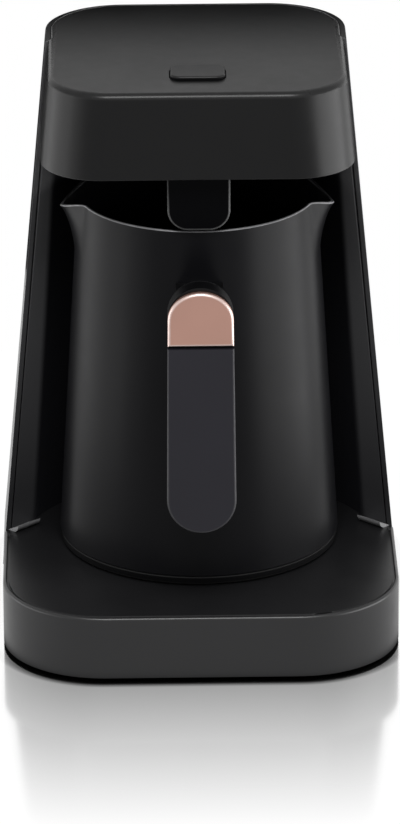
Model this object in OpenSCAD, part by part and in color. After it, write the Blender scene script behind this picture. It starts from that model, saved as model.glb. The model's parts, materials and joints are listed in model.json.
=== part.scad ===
// Electric Turkish coffee maker: a base with a hot plate, a tapered column, a head with one
// button and a sensor pod, and a jug that slides out to the front.
// Millimetres. +Z is up, the front faces -Y, and the origin is under the jug's axis.

/* [Base] */
// Width of the base
base_w = 154; // [148:1:160]
// Depth of the base and of the whole machine
base_d = 170; // [166:1:180]
// Height of the deck above the table
deck_z = 26.4; // [25:0.2:32]
// Corner radius at the front of the base
base_front_r = 40; // [30:1:42]
// Corner radius at the back of the base and of the shell
base_rear_r = 30; // [24:1:34]
// Wall thickness of the base
base_wall = 2.4; // [2:0.1:2.6]
// Thickness of the deck
deck_t = 2.2; // [1.8:0.1:3]
// How far the feet lift the base off the table
foot_h = 1.4; // [1:0.1:2]
// Radius of a foot
foot_r = 8; // [6:0.5:9]
// Thickness of the bottom cover
cover_t = 2; // [1.6:0.1:2.4]

/* [Shell] */
// How far the shell's lower edge stands out past the base on each side
shell_overhang = 0.8; // [0.3:0.1:1.2]
// Width over the shell at the top of the head
shell_top_w = 116; // [112:1:118]
// Distance from the jug's axis to the shell's back at the top
shell_top_back = 54.5; // [53:0.5:58]
// Wall thickness of the shell
shell_wall = 2; // [1.6:0.1:2.2]
// Height of the shell's lower edge above the table
skirt_z = 12; // [10:0.5:14]
// Where the front edge of each wing meets the niche, behind the jug's axis
wing_y = 15; // [12:0.5:18]
// How far a wing's face runs sideways for each millimetre that it comes forward
wing_splay = 1.05; // [0.9:0.05:1.2]
// Wall thickness of the liner
liner_wall = 2; // [1.6:0.1:2.4]

/* [Jug] */
// Outer radius of the jug at its foot
jug_foot_r = 54.8; // [52:0.2:56]
// Outer radius of the jug at its rim
jug_rim_r = 46.4; // [43:0.2:48]
// Height of the jug from its underside to its rim
jug_h = 142.6; // [136:0.2:150]
// Wall thickness of the jug
jug_wall = 1.4; // [1:0.1:2]
// Height of the ring under the jug
jug_base_h = 3; // [2.4:0.1:4]
// How far each pouring beak reaches past the rim
beak_reach = 7; // [4:0.5:8]
// How far each beak's tip lies below the rim
beak_drop = 5.4; // [3:0.2:6]
// Half the width of a beak at its root
beak_half_w = 16; // [12:0.5:18]
// Radial gap between the jug and the niche's wall
niche_gap = 3; // [2.6:0.1:3.4]

/* [Handle] */
// Width of the handle near its top
handle_top_w = 24.9; // [22:0.1:27]
// Width of the handle near its foot
handle_foot_w = 26.4; // [24:0.1:28]
// Distance from the jug's axis to the handle's front face
handle_reach = 84; // [80:1:86]
// Length of the handle
handle_len = 99; // [90:1:104]
// Distance from the rim down to the handle's top
handle_drop = 10; // [8:0.5:14]
// Depth of the handle, front to back
handle_t = 11; // [10:0.5:13]
// Height of the copper cap
cap_h = 23.2; // [18:0.2:26]
// Thickness of the cap and of the grip's panel
panel_t = 2.4; // [2:0.1:3]

/* [Head] */
// Gap between the jug's rim and the head's underside
head_gap = 24.5; // [22:0.5:28]
// Height of the head
head_h = 34.5; // [32:0.5:38]
// Distance from the jug's axis to the head's front face
head_reach = 58; // [56:0.5:62]
// Corner radius at the front of the head
head_front_r = 24; // [20:1:26]
// How far the head's sides lie inside the shell's outer face
head_inset = 1; // [0.8:0.1:1.2]
// Wall thickness of the head
head_wall = 2.2; // [1.8:0.1:2.4]
// Width of the rounded edge round the head's top
head_soft = 2.5; // [1.5:0.1:3]
// Width of the button
button_w = 21; // [18:0.5:24]
// Depth of the button, front to back
button_d = 15; // [13:0.5:17]
// How far the button stands above the head
button_h = 1.5; // [1.3:0.1:2]
// Distance from the jug's axis forward to the button's middle
button_reach = 34.5; // [32:0.5:38]
// Travel of the button
button_travel = 1.2; // [0.8:0.1:1.3]

/* [Sensor pod] */
// Width of the pod
pod_w = 24; // [22:0.5:26]
// Distance from the jug's axis to the pod's front face
pod_reach = 50; // [49:0.5:51]
// Depth of the pod, front to back
pod_d = 40; // [36:1:44]
// Gap between the jug's rim and the pod
pod_gap = 1.5; // [1:0.1:2.5]
// Radius of the pod's lower corners
pod_r = 8; // [6:0.5:10]
// Wall thickness of the pod
pod_wall = 1.6; // [1.2:0.1:2]

/* [Heater] */
// Radius of the hot plate's upper face
plate_r = 43; // [40:0.5:44]
// How far the plate stands above the deck
plate_rise = 0.6; // [0.4:0.1:1]
// Radius of the heating tube's ring
element_ring_r = 32; // [28:0.5:34]
// Radius of the heating tube
element_r = 3.2; // [2.5:0.1:3.6]

/* [Hidden] */
$fn = 96;

// Clearances
fit = 0.25;             // between fixed mouldings that nest
lift = 0.3;             // between the jug and the plate
button_gap = 0.35;      // round the button in its opening
stop_gap = 0.2;         // between the button's flange and the head's roof
screw_play = 0.05;      // round a screw's shank in its pilot hole
joint_rise = 0.2;       // how far a ball joint stands round a rod
slip = 0.01;            // thickness of the slices that a tapered block is stretched between
cut = 1;                // how far a cutting body runs past what it cuts

// Screws
screw_r = 1.25;
screw_head_r = 2.8;
screw_head_h = 1.8;
small_screw_r = 1;
small_head_r = 2;
small_head_h = 1.4;
boss_wall = 2.2;
boss_r = screw_r + boss_wall;
small_boss_r = small_screw_r + boss_wall - 0.2;

// Heights that follow from each other
plate_z = deck_z + plate_rise;
jug_z = plate_z + lift;
jug_body_z = jug_z + jug_base_h + 0.1;
rim_z = jug_z + jug_h;
head_z = rim_z + head_gap;
top_z = head_z + head_h;
shell_top_z = top_z - 0.8;
cover_z = foot_h;
cover_top = cover_z + cover_t;

// Base
half_base = base_w / 2;
front_y = -base_d / 2;
rear_y = base_d / 2;
deck_under = deck_z - deck_t;
rebate = shell_wall + fit;
collar_h = 1.8;
boss_end = cover_top + collar_h;
cover_screw_side = 17;
cover_screw_mid_side = 11;
cover_screw_front = 27;
cover_screw_rear = 35;
cover_screw_xy = [
    [half_base - cover_screw_side, front_y + cover_screw_front],
    [half_base - cover_screw_mid_side, 0],
    [half_base - cover_screw_side, rear_y - cover_screw_rear]
];
cover_screw_len = 10;
foot_side = 33;
foot_front = 29;
foot_rear = 27;
foot_xy = [[half_base - foot_side, front_y + foot_front], [half_base - foot_side, rear_y - foot_rear]];
foot_recess = 1;
slot_w = 3;
slot_len = 32;
slot_pitch = 9;

// Tapered block: half width and back at a height
shell_foot_w = base_w + 2 * shell_overhang;
side_slope = (shell_foot_w - shell_top_w) / 2 / (top_z - skirt_z);
back_slope = (rear_y - shell_top_back) / (top_z - skirt_z);
function half_at(z) = shell_foot_w / 2 - side_slope * (z - skirt_z);
function back_at(z) = rear_y - back_slope * (z - skirt_z);

// Screws that hold the shell down
shell_boss_side = 12;
shell_boss_rear = 12.5;
shell_boss_xy = [half_at(deck_z) - shell_boss_side, back_at(deck_z) - shell_boss_rear];
shell_boss_h = 4;
shell_post_h = 16;
shell_screw_len = 14;

// Jug cone and the niche that follows it
jug_slope = (jug_foot_r - jug_rim_r) / (rim_z - jug_body_z);
function jug_r_at(z) = jug_foot_r - jug_slope * (z - jug_body_z);
niche_y = -13;
side_return = 14;
function niche_r_at(z) = jug_r_at(z) + niche_gap - niche_y;
function wing_x_at(z) = sqrt(pow(niche_r_at(z), 2) - pow(wing_y - niche_y, 2));
wing_lean = (wing_x_at(deck_z) - wing_x_at(head_z)) / (head_z - deck_z);
function wing_edge_at(z) = wing_x_at(deck_z) - wing_lean * (z - deck_z);

// Heater
seal_t = 1.5;
seal_r = plate_r + seal_t * 2;
plate_flange_r = plate_r + 5;
plate_flange_top = deck_under - seal_t - 0.1;
plate_under = plate_flange_top - 3;
shield_r = plate_flange_r + 2;
shield_z = cover_top + 5.6;
shield_t = 0.8;
shield_boss_r = plate_flange_r + 8;
shield_boss_angles = [90, 210, 330];
element_z = plate_under - element_r - 0.05;
element_gap_angle = 30;
lead_x = element_ring_r * sin(element_gap_angle / 2);
lead_y = element_ring_r * cos(element_gap_angle / 2);
lead_end = plate_flange_r - 4;
sensor_gap = 0.1;

// Column electronics
board_t = 1.6;
board_x0 = -28;
board_w = 64;
board_z0 = 34;
board_h = 58;
board_back_gap = 3.95;
board_rear = back_at(board_z0 + board_h) - shell_wall - board_back_gap;
board_y = board_rear - board_t;
board_hole_inset = 4;
board_screw_len = 7;
part_row_z = board_z0 + 10;
relay_size = [15, 7.4, 13];
relay_x = board_x0 + 23;
transformer_size = [18, 7, 14];
transformer_x = board_x0 + 41;
terminal_size = [18, 7, 9];
terminal_x = board_x0 + 2;
terminal_pitch = 6;
capacitor_r = 5;
capacitor_len = 4.6;
capacitor_x = board_x0 + 30;
capacitor_z = part_row_z + 26;
passage_w = 60;
passage_y = board_y - 2.2;
passage_d = 11;
loom_r = 2;
lead_r = 1.4;
loom_x = 40;
loom_y = 46.5;
loom_exit_z = board_z0 + board_h - 4;
loom_bend_z = loom_exit_z + 12;
loom_over = 8;

// Cord inlet
bush_x = -42;
bush_z = 36;
cord_hole_r = 3.4;
bush_r = 6;
bush_flange_r = 8;
bush_flange_t = 1.5;
bush_pad_r = 9.5;
bush_in = 11;

// Head
roof_t = 2.4;
roof_z = top_z - roof_t;
side_step = rebate + 0.05;
head_front = -head_reach;
bottom_t = 2.2;
bottom_top = head_z + bottom_t;
head_recess = 1.2;
head_screw_len = 12;
head_screw_z = head_z + head_recess - screw_head_h;
head_screw_xy = [
    [half_at(head_z + 18) - head_inset - head_wall - boss_r + 1, -32],
    [half_at(head_z + 18) - 11, back_at(head_z) - 19]
];
control_z = roof_z - 10.6;
control_t = 1.6;
control_top = control_z + control_t;
control_half_w = 45;
control_y0 = -51;
control_d = 60;
control_hole_x = 40;
control_hole_y = [-47, 5];

// Button
button_y = -button_reach;
button_r = 4;
flange_t = 1.2;
flange_edge = 2.2;
flange_top = roof_z - stop_gap;
stem_r = 1.9;
switch_size = 6;
switch_h = 3.5;
switch_pin_r = 1.6;
switch_pin_h = 1.2;
stem_end = control_top + switch_h + switch_pin_h + button_travel + 0.2;
spring_r = 5.2;
spring_wire_r = 0.35;
spring_turns = 4;
spring_z0 = control_top + spring_wire_r + 0.05;
spring_z1 = flange_top - flange_t - spring_wire_r - 0.05;

// Sensor pod
pod_z = rim_z + pod_gap;
pod_y = -pod_reach;
pod_flange_edge = 4.6;
pod_flange_t = 1.6;
pod_screw_y = [pod_y + 6, pod_y + pod_d - 6];
window_y = pod_y + 23;
window_r = 4.2;
window_t = 1.2;
ir_r = 4.6;
ir_h = 4.6;
sensor_board_z = pod_z + pod_wall + window_t + 0.6 + ir_h;
sensor_board_t = 1.2;
sensor_board_w = 18;
sensor_board_d = 30;

// Handle
handle_z1 = rim_z - handle_drop;
handle_z0 = handle_z1 - handle_len;
cap_z = handle_z1 - cap_h;
handle_front = -handle_reach;
handle_back = handle_front + handle_t;
panel_back = handle_front + panel_t;
bridge_w = 18;
bridge_h = 15;
bridge_z = handle_z1 - 6 - bridge_h / 2;
bracket_t = 1.6;
bracket_gap = 0.05;
bracket_boss_r = 4.2;
bracket_boss_h = 8;
handle_screw_r = 2;
handle_screw_head_r = 3.6;
peg_r = 1.6;
peg_len = 3;
seam = 0.25;

// ---------- shared shapes ----------

// Rectangle with its own corner radii at the front and at the back
module plan(half, front, back, rf, rb) {
    translate([-half, front + rf]) square([2 * half, back - rb - front - rf]);
    translate([rf - half, front]) square([2 * (half - rf), rf]);
    translate([rb - half, back - rb]) square([2 * (half - rb), rb]);
    for (side = [-1, 1]) {
        translate([side * (half - rf), front + rf]) circle(rf);
        translate([side * (half - rb), back - rb]) circle(rb);
    }
}

// Thin slice of the tapered block at one height
module slice(z, inset, front, rf) {
    translate([0, 0, z])
        linear_extrude(slip)
            plan(half_at(z) - inset, front, back_at(z) - inset, rf, base_rear_r - inset, $fn = 64);
}

// Block that narrows upwards at its sides and back
module taper(z0, z1, inset, front = -30, rf = 1) {
    hull() {
        slice(z0, inset, front, rf);
        slice(z1 - slip, inset, front, rf);
    }
}

// The same block with a rounded upper edge
module soft_taper(z0, z1, inset, front, rf, soft) {
    hull() {
        slice(z0, inset, front, rf);
        slice(z1 - soft, inset, front, rf);
        slice(z1 - 0.3 * soft, inset + 0.3 * soft, front + 0.3 * soft, rf - 0.3 * soft);
        slice(z1 - slip, inset + soft, front + soft, rf - soft);
    }
}

// Space in front of the two wing faces, moved forward by gap
module ahead_of_wings(gap = 0) {
    depth = 120;
    hull()
        for (z = [0, top_z + 20])
            translate([0, -gap, z])
                linear_extrude(slip)
                    polygon([
                        [-wing_edge_at(z), wing_y],
                        [wing_edge_at(z), wing_y],
                        [wing_edge_at(z) + depth * wing_splay, wing_y - depth],
                        [-wing_edge_at(z) - depth * wing_splay, wing_y - depth]
                    ]);
}

// Space that the niche takes, widened by grow
module niche(grow, z0, z1) {
    translate([0, niche_y, z0])
        cylinder(r1 = niche_r_at(z0) + grow, r2 = niche_r_at(z1) + grow, h = z1 - z0);
}

// Tapered block with a rounded upper edge where soft is more than 0
module soft_or_plain(z0, z1, inset, front, rf, soft) {
    if (soft > 0)
        soft_taper(z0, z1, inset, front, rf, soft);
    else
        taper(z0, z1, inset, front, rf);
}

// Body of the head: wide ahead of the shell, narrower inside it
module head_block(z0, z1, inset, soft = 0) {
    intersection() {
        soft_or_plain(z0, z1, head_inset + inset, head_front + inset, head_front_r - inset, soft);
        ahead_of_wings(fit);
    }
    soft_or_plain(z0, z1, side_step + inset, -20, 3, soft);
}

// Screw with its head at z = 0 and its shank upwards
module screw(shank_r, head_r, head_h, length) {
    cylinder(r = head_r, h = head_h);
    cylinder(r = shank_r, h = head_h + length);
}

// Round rod from one point to another, with a slightly wider ball at its far end
module rod(from, to, r) {
    d = to - from;
    length = norm(d);
    translate(from)
        rotate([0, acos(d.z / length), atan2(d.y, d.x)])
            cylinder(r = r, h = length, $fn = 24);
    translate(to) sphere(r + joint_rise, $fn = 24);
}

module both_sides() {
    children();
    mirror([1, 0, 0]) children();
}

// ---------- base ----------

// Outline of the hollow in the base, pulled in by gap. It is narrower where the shell laps over it
module base_hollow(gap = 0) {
    step = rebate + 0.9;
    plan(half_base - base_wall - step - gap, front_y + base_wall + gap, rear_y - base_wall - step - 1.5 - gap,
        base_front_r - base_wall - gap, base_rear_r - base_wall - gap);
    plan(half_base - base_wall - gap, front_y + base_wall + gap, -gap, base_front_r - base_wall - gap, 1);
}

module base_housing() {
    color([0.16, 0.16, 0.17])
        difference() {
            union() {
                difference() {
                    translate([0, 0, foot_h])
                        linear_extrude(deck_z - foot_h)
                            plan(half_base, front_y, rear_y - 0.4, base_front_r, base_rear_r);
                    translate([0, 0, foot_h - cut]) linear_extrude(deck_under - foot_h + cut) base_hollow();
                }
                both_sides() {
                    for (p = cover_screw_xy)
                        translate([p.x, p.y, boss_end])
                            cylinder(r = boss_r, h = deck_under - boss_end + slip);
                    translate([shell_boss_xy.x, shell_boss_xy.y, deck_under - shell_boss_h])
                        cylinder(r = boss_r, h = shell_boss_h + slip);
                }
                for (a = shield_boss_angles)
                    rotate(a) translate([shield_boss_r, 0, plate_under])
                        cylinder(r = boss_r, h = deck_under - plate_under + slip);
            }
            // step that the shell's skirt laps over
            difference() {
                translate([-base_w, 0, skirt_z - fit]) cube([2 * base_w, base_d, deck_z]);
                ahead_of_wings(fit);
                taper(skirt_z - cut, deck_z + cut, rebate);
            }
            // opening for the hot plate
            translate([0, 0, deck_under - cut]) cylinder(r = seal_r, h = deck_t + 2 * cut);
            // passage for the wires into the column
            translate([-passage_w / 2, passage_y, deck_under - cut]) cube([passage_w, passage_d, deck_t + 2 * cut]);
            both_sides() {
                for (p = cover_screw_xy)
                    translate([p.x, p.y, boss_end - cut])
                        cylinder(r = screw_r + screw_play, h = 14);
                translate([shell_boss_xy.x, shell_boss_xy.y, foot_h - cut]) {
                    cylinder(r = screw_r + 4 * screw_play, h = deck_z);
                    cylinder(r = screw_head_r + fit, h = deck_under - shell_boss_h - foot_h + cut);
                }
            }
            for (a = shield_boss_angles)
                rotate(a) translate([shield_boss_r, 0, plate_under - cut])
                    cylinder(r = screw_r + screw_play, h = 5);
        }
}

module bottom_cover() {
    color([0.1, 0.1, 0.1])
        difference() {
            union() {
                translate([0, 0, cover_z]) linear_extrude(cover_t) base_hollow(0.4);
                both_sides()
                    for (p = cover_screw_xy)
                        translate([p.x, p.y, cover_top - slip]) cylinder(r = boss_r + 1.4, h = collar_h + slip);
            }
            both_sides() {
                for (p = cover_screw_xy)
                    translate([p.x, p.y, cover_z - cut]) {
                        cylinder(r = screw_head_r + fit, h = cut + 2.2);
                        cylinder(r = screw_r + 4 * screw_play, h = 2 * cut + cover_t + collar_h);
                    }
                for (p = foot_xy)
                    translate([p.x, p.y, cover_z - cut]) cylinder(r = foot_r + screw_play, h = cut + foot_recess);
            }
            // cooling slots
            for (i = [-3:3])
                translate([i * slot_pitch - slot_w / 2, -slot_len / 2, cover_z - cut])
                    cube([slot_w, slot_len, cover_t + 2 * cut]);
        }
}

module rubber_feet() {
    color([0.05, 0.05, 0.05])
        both_sides()
            for (p = foot_xy)
                translate([p.x, p.y, 0]) cylinder(r = foot_r, h = foot_h + foot_recess);
}

module cover_screws() {
    color("silver")
        both_sides()
            for (p = cover_screw_xy)
                translate([p.x, p.y, cover_z + 2.2 - screw_head_h]) screw(screw_r, screw_head_r, screw_head_h, cover_screw_len);
}

// ---------- heater ----------

module heating_plate() {
    color([0.3, 0.3, 0.31]) {
        translate([0, 0, plate_under]) cylinder(r = plate_r, h = plate_z - plate_under);
        translate([0, 0, plate_under]) cylinder(r = plate_flange_r, h = plate_flange_top - plate_under);
    }
}

module plate_seal() {
    color([0.08, 0.08, 0.08])
        difference() {
            union() {
                translate([0, 0, plate_flange_top + 0.05]) cylinder(r = plate_flange_r, h = seal_t);
                translate([0, 0, plate_flange_top + 0.05])
                    cylinder(r = seal_r - 0.05, h = deck_z - plate_flange_top - 0.05);
            }
            translate([0, 0, plate_flange_top - cut]) cylinder(r = plate_r + 0.05, h = deck_t + 4);
        }
}

module heating_element() {
    color([0.45, 0.4, 0.36]) {
        translate([0, 0, element_z])
            rotate(90 + element_gap_angle / 2)
                rotate_extrude(angle = 360 - element_gap_angle)
                    translate([element_ring_r, 0]) circle(element_r);
        both_sides()
            translate([lead_x, lead_y, element_z]) {
                translate([0, 0, -element_r - 0.2]) cylinder(r = element_r + 0.4, h = 2 * element_r + 0.1);
                rotate([-90, 0, 0]) cylinder(r = element_r - 0.4, h = lead_end - lead_y);
            }
    }
}

module heat_shield() {
    top = plate_under;
    lip_r = plate_flange_r - 3;
    color([0.6, 0.6, 0.6])
        difference() {
            union() {
                // dish with a flat lip
                rotate_extrude()
                    polygon([
                        [0, shield_z], [shield_r, shield_z], [shield_r, top], [lip_r, top],
                        [lip_r, top - shield_t], [shield_r - shield_t, top - shield_t],
                        [shield_r - shield_t, shield_z + shield_t], [0, shield_z + shield_t]
                    ]);
                for (a = shield_boss_angles)
                    rotate(a) translate([shield_r - shield_t / 2, -5, top - shield_t])
                        cube([shield_boss_r - shield_r + 5, 10, shield_t]);
            }
            for (a = shield_boss_angles)
                rotate(a) translate([shield_boss_r, 0, top - shield_t - cut])
                    cylinder(r = screw_r + 4 * screw_play, h = shield_t + 2 * cut);
            // notch for the heating tube's ends
            translate([-lead_x - element_r - 1, lead_y, element_z - element_r - 1])
                cube([2 * (lead_x + element_r + 1), shield_r, 2 * element_r]);
        }
}

module plate_screws() {
    color("silver")
        for (a = shield_boss_angles)
            rotate(a) translate([shield_boss_r, 0, plate_under - shield_t - screw_head_h])
                screw(screw_r, screw_head_r, screw_head_h, 4.4);
}

module thermostat() {
    color([0.75, 0.72, 0.65])
        translate([0, 4, plate_under - sensor_gap]) mirror([0, 0, 1]) {
            cylinder(r = 8, h = 3);
            cylinder(r = 6.5, h = 7.4);
            for (side = [-1, 1])
                translate([side * 4 - 0.4, -2, 7.4 - slip]) cube([0.8, 4, 2]);
        }
}

module thermal_fuse() {
    color([0.85, 0.82, 0.7])
        translate([-7, -16, plate_under - sensor_gap - 1.9]) rotate([0, 90, 0]) cylinder(r = 1.9, h = 14, $fn = 32);
}

module temperature_sensor() {
    color([0.2, 0.2, 0.5])
        translate([-19, 4, plate_under - sensor_gap]) mirror([0, 0, 1]) {
            cylinder(r = 3.4, h = 1.2);
            cylinder(r = 2.4, h = 5);
        }
}

// ---------- column ----------

module outer_shell() {
    color([0.05, 0.05, 0.05])
        difference() {
            union() {
                taper(skirt_z, shell_top_z, 0);
                translate([bush_x, back_at(bush_z) - 4, bush_z])
                    rotate([-90, 0, 0])
                        cylinder(r = bush_pad_r, h = rear_y - bush_flange_t - back_at(bush_z) + 4);
            }
            difference() {
                taper(skirt_z - cut, top_z, shell_wall);
                both_sides()
                    translate([shell_boss_xy.x, shell_boss_xy.y, deck_z + 0.1]) cylinder(r = boss_r, h = shell_post_h);
            }
            ahead_of_wings();
            translate([bush_x, 0, bush_z]) rotate([-90, 0, 0]) cylinder(r = bush_r + screw_play, h = base_d);
            both_sides()
                translate([shell_boss_xy.x, shell_boss_xy.y, deck_z - cut])
                    cylinder(r = screw_r + screw_play, h = 12);
        }
}

module shell_screws() {
    color("silver")
        both_sides()
            translate([shell_boss_xy.x, shell_boss_xy.y, deck_under - shell_boss_h - screw_head_h])
                screw(screw_r, screw_head_r, screw_head_h, shell_screw_len);
}

module board_posts(r, extra) {
    for (x = [board_x0 + board_hole_inset, board_x0 + board_w - board_hole_inset],
         z = [board_z0 + board_hole_inset, board_z0 + board_h - board_hole_inset])
        translate([x, board_y + extra, z]) rotate([90, 0, 0]) cylinder(r = r, h = 24 + extra, $fn = 32);
}

module column_liner() {
    z0 = deck_z + 0.1;
    z1 = head_z - 0.2;
    color([0.09, 0.09, 0.1])
        difference() {
            union() {
                difference() {
                    taper(z0, z1, rebate);
                    difference() {
                        union() {
                            taper(z0 - cut, z1 + cut, rebate + liner_wall);
                            translate([-base_w, wing_y + side_return, z0 - cut]) cube([2 * base_w, base_d, z1 - z0 + 2 * cut]);
                        }
                        ahead_of_wings(-liner_wall * 1.4);
                        niche(liner_wall, z0 - cut, z1 + cut);
                    }
                }
                board_posts(small_boss_r, 0);
            }
            ahead_of_wings();
            niche(0, z0 - cut, z1 + cut);
            board_posts(small_screw_r + screw_play, cut);
            // clear of the shell's two screw bosses
            both_sides()
                translate([shell_boss_xy.x, shell_boss_xy.y, z0 - cut]) cylinder(r = boss_r + fit, h = shell_post_h + 2 + cut);
        }
}

module power_board() {
    color([0.1, 0.35, 0.15])
        difference() {
            translate([board_x0, board_y, board_z0]) cube([board_w, board_t, board_h]);
            translate([0, board_t, 0]) board_posts(small_screw_r + screw_play, cut);
        }
}

module power_board_screws() {
    color("silver")
        for (x = [board_x0 + board_hole_inset, board_x0 + board_w - board_hole_inset],
             z = [board_z0 + board_hole_inset, board_z0 + board_h - board_hole_inset])
            translate([x, board_rear + small_head_h, z])
                rotate([90, 0, 0]) screw(small_screw_r, small_head_r, small_head_h, board_screw_len, $fn = 32);
}

// Box-shaped part on the back of the power board
module board_part(x, z, size) {
    translate([x, board_rear, z]) cube(size);
}

module relay() {
    color([0.1, 0.3, 0.6]) board_part(relay_x, part_row_z, relay_size);
}

module power_transformer() {
    color([0.85, 0.75, 0.2]) board_part(transformer_x, part_row_z, transformer_size);
}

module terminal_block() {
    z = part_row_z + 2;
    color([0.2, 0.5, 0.3])
        difference() {
            board_part(terminal_x, z, terminal_size);
            for (i = [0:2])
                translate([terminal_x + terminal_pitch * (i + 0.5), board_rear + terminal_size.y / 2, z - cut])
                    cylinder(r = 1.6, h = 5, $fn = 32);
        }
}

module filter_capacitor() {
    color([0.7, 0.2, 0.2])
        translate([capacitor_x, board_rear, capacitor_z])
            rotate([-90, 0, 0]) cylinder(r = capacitor_r, h = capacitor_len, $fn = 48);
}

module wiring_loom() {
    hot = [lead_x, board_y + 2.5, element_z];
    top_end = -10;
    color([0.6, 0.15, 0.1]) {
        // mains leads to the heating tube
        both_sides() {
            rod([lead_x, lead_end, element_z], hot, lead_r);
            rod(hot, [hot.x, hot.y, board_z0 - lead_r - 0.4], lead_r);
        }
        // signal loom up to the head
        rod([board_x0 + board_w + loom_r, board_y, loom_exit_z], [loom_x, loom_y, loom_bend_z], loom_r);
        rod([loom_x, loom_y, loom_bend_z], [loom_x, loom_y, head_z + loom_over], loom_r);
        rod([loom_x, loom_y, head_z + loom_over], [loom_x, top_end, head_z + loom_over], loom_r);
        rod([loom_x, top_end, head_z + loom_over], [loom_x, top_end, control_z - loom_r - 0.4], loom_r);
    }
}

module cord_inlet_bush() {
    color([0.06, 0.06, 0.06])
        translate([bush_x, rear_y, bush_z])
            rotate([90, 0, 0])
                difference() {
                    union() {
                        cylinder(r = bush_flange_r, h = bush_flange_t);
                        cylinder(r = bush_r, h = bush_in);
                    }
                    translate([0, 0, -cut]) cylinder(r = cord_hole_r, h = bush_in + 2 * cut);
                }
}

// ---------- head ----------

module button_plan(grow) {
    r = button_r + grow;
    straight_x = button_w / 2 - button_r;
    straight_y = button_d / 2 - button_r;
    square([2 * straight_x, button_d + 2 * grow], center = true);
    square([button_w + 2 * grow, 2 * straight_y], center = true);
    for (sx = [-1, 1], sy = [-1, 1])
        translate([sx * straight_x, sy * straight_y]) circle(r, $fn = 48);
}

module head_bosses() {
    both_sides() {
        for (p = head_screw_xy)
            translate([p.x, p.y, bottom_top + 0.1]) cylinder(r = boss_r, h = 16, $fn = 48);
        for (y = control_hole_y)
            translate([control_hole_x, y, control_top])
                cylinder(r = small_boss_r, h = top_z - control_top, $fn = 48);
    }
}

module head_housing() {
    color([0.12, 0.12, 0.12])
        difference() {
            head_block(head_z, top_z, 0, head_soft);
            difference() {
                head_block(head_z - cut, roof_z, head_wall);
                head_bosses();
            }
            translate([0, button_y, roof_z - cut]) linear_extrude(roof_t + 2 * cut) button_plan(button_gap);
            both_sides() {
                for (p = head_screw_xy)
                    translate([p.x, p.y, bottom_top - cut])
                        cylinder(r = screw_r + screw_play, h = 14, $fn = 48);
                for (y = control_hole_y)
                    translate([control_hole_x, y, control_top - cut])
                        cylinder(r = small_screw_r + screw_play, h = 8, $fn = 48);
            }
        }
}

module head_bottom_cover() {
    color([0.08, 0.08, 0.08])
        difference() {
            head_block(head_z + 0.01, bottom_top, head_wall + fit);
            translate([-pod_w / 2 - fit, pod_y - fit, head_z - cut]) cube([pod_w + 2 * fit, pod_d + 2 * fit, bottom_t + 2 * cut]);
            translate([loom_x, loom_y, head_z - cut]) cylinder(r = loom_r + 1.5, h = bottom_t + 2 * cut);
            both_sides() {
                for (p = head_screw_xy)
                    translate([p.x, p.y, head_z - cut]) {
                        cylinder(r = screw_r + 4 * screw_play, h = bottom_t + 2 * cut, $fn = 48);
                        cylinder(r = screw_head_r + fit, h = head_recess + cut, $fn = 48);
                    }
                for (y = pod_screw_y)
                    translate([pod_w / 2 + 2.4, y, head_z + 0.6]) cylinder(r = small_screw_r + screw_play, h = bottom_t, $fn = 48);
            }
        }
}

module head_screws() {
    color("silver")
        both_sides()
            for (p = head_screw_xy)
                translate([p.x, p.y, head_screw_z]) screw(screw_r, screw_head_r, screw_head_h, head_screw_len, $fn = 48);
}

module control_board() {
    color([0.1, 0.35, 0.15])
        difference() {
            union() {
                translate([-control_half_w, control_y0, control_z]) cube([2 * control_half_w, control_d, control_t]);
                translate([-30, -22, control_top - slip]) cube([10, 10, 1.4]);
                translate([10, -8, control_top - slip]) cube([14, 6, 5]);
            }
            both_sides()
                for (y = control_hole_y)
                    translate([control_hole_x, y, control_z - cut]) cylinder(r = small_screw_r + screw_play, h = control_t + 2 * cut, $fn = 48);
        }
}

module control_board_screws() {
    color("silver")
        both_sides()
            for (y = control_hole_y)
                translate([control_hole_x, y, control_z - small_head_h]) screw(small_screw_r, small_head_r, small_head_h, board_screw_len, $fn = 48);
}

module button_switch() {
    color([0.2, 0.2, 0.2]) {
        translate([-switch_size / 2, button_y - switch_size / 2, control_top]) cube([switch_size, switch_size, switch_h]);
        translate([0, button_y, control_top + switch_h - slip]) cylinder(r = switch_pin_r, h = switch_pin_h + slip, $fn = 48);
    }
}

module buzzer() {
    color([0.05, 0.05, 0.05])
        translate([30, -30, control_top]) cylinder(r = 6, h = 5, $fn = 64);
}

// Coil spring swept along a helix
module button_spring() {
    sides = 6;
    steps_per_turn = 16;
    rings = spring_turns * steps_per_turn;
    rise = spring_z1 - spring_z0;
    points = [
        for (i = [0:rings], k = [0:sides - 1])
            let (a = 360 * i / steps_per_turn, b = 360 * k / sides, rr = spring_r + spring_wire_r * cos(b))
            [rr * cos(a), rr * sin(a), spring_z0 + rise * i / rings + spring_wire_r * sin(b)]
    ];
    walls = [
        for (i = [0:rings - 1], k = [0:sides - 1])
            let (a = i * sides + k, b = i * sides + (k + 1) % sides)
            for (t = [[a, b, b + sides], [a, b + sides, a + sides]]) t
    ];
    start_cap = [for (k = [1:sides - 2]) [0, k + 1, k]];
    end_cap = [for (k = [1:sides - 2]) [rings * sides, rings * sides + k, rings * sides + k + 1]];
    color("silver")
        translate([0, button_y, 0]) polyhedron(points, concat(walls, start_cap, end_cap));
}

module start_button() {
    color([0.14, 0.14, 0.14])
        translate([0, button_y, 0]) {
            translate([0, 0, flange_top - slip]) linear_extrude(top_z + button_h - flange_top + slip) button_plan(0);
            translate([0, 0, flange_top - flange_t]) linear_extrude(flange_t) button_plan(flange_edge);
            translate([0, 0, stem_end]) cylinder(r = stem_r, h = flange_top - stem_end, $fn = 48);
        }
}

// ---------- sensor pod ----------

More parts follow.
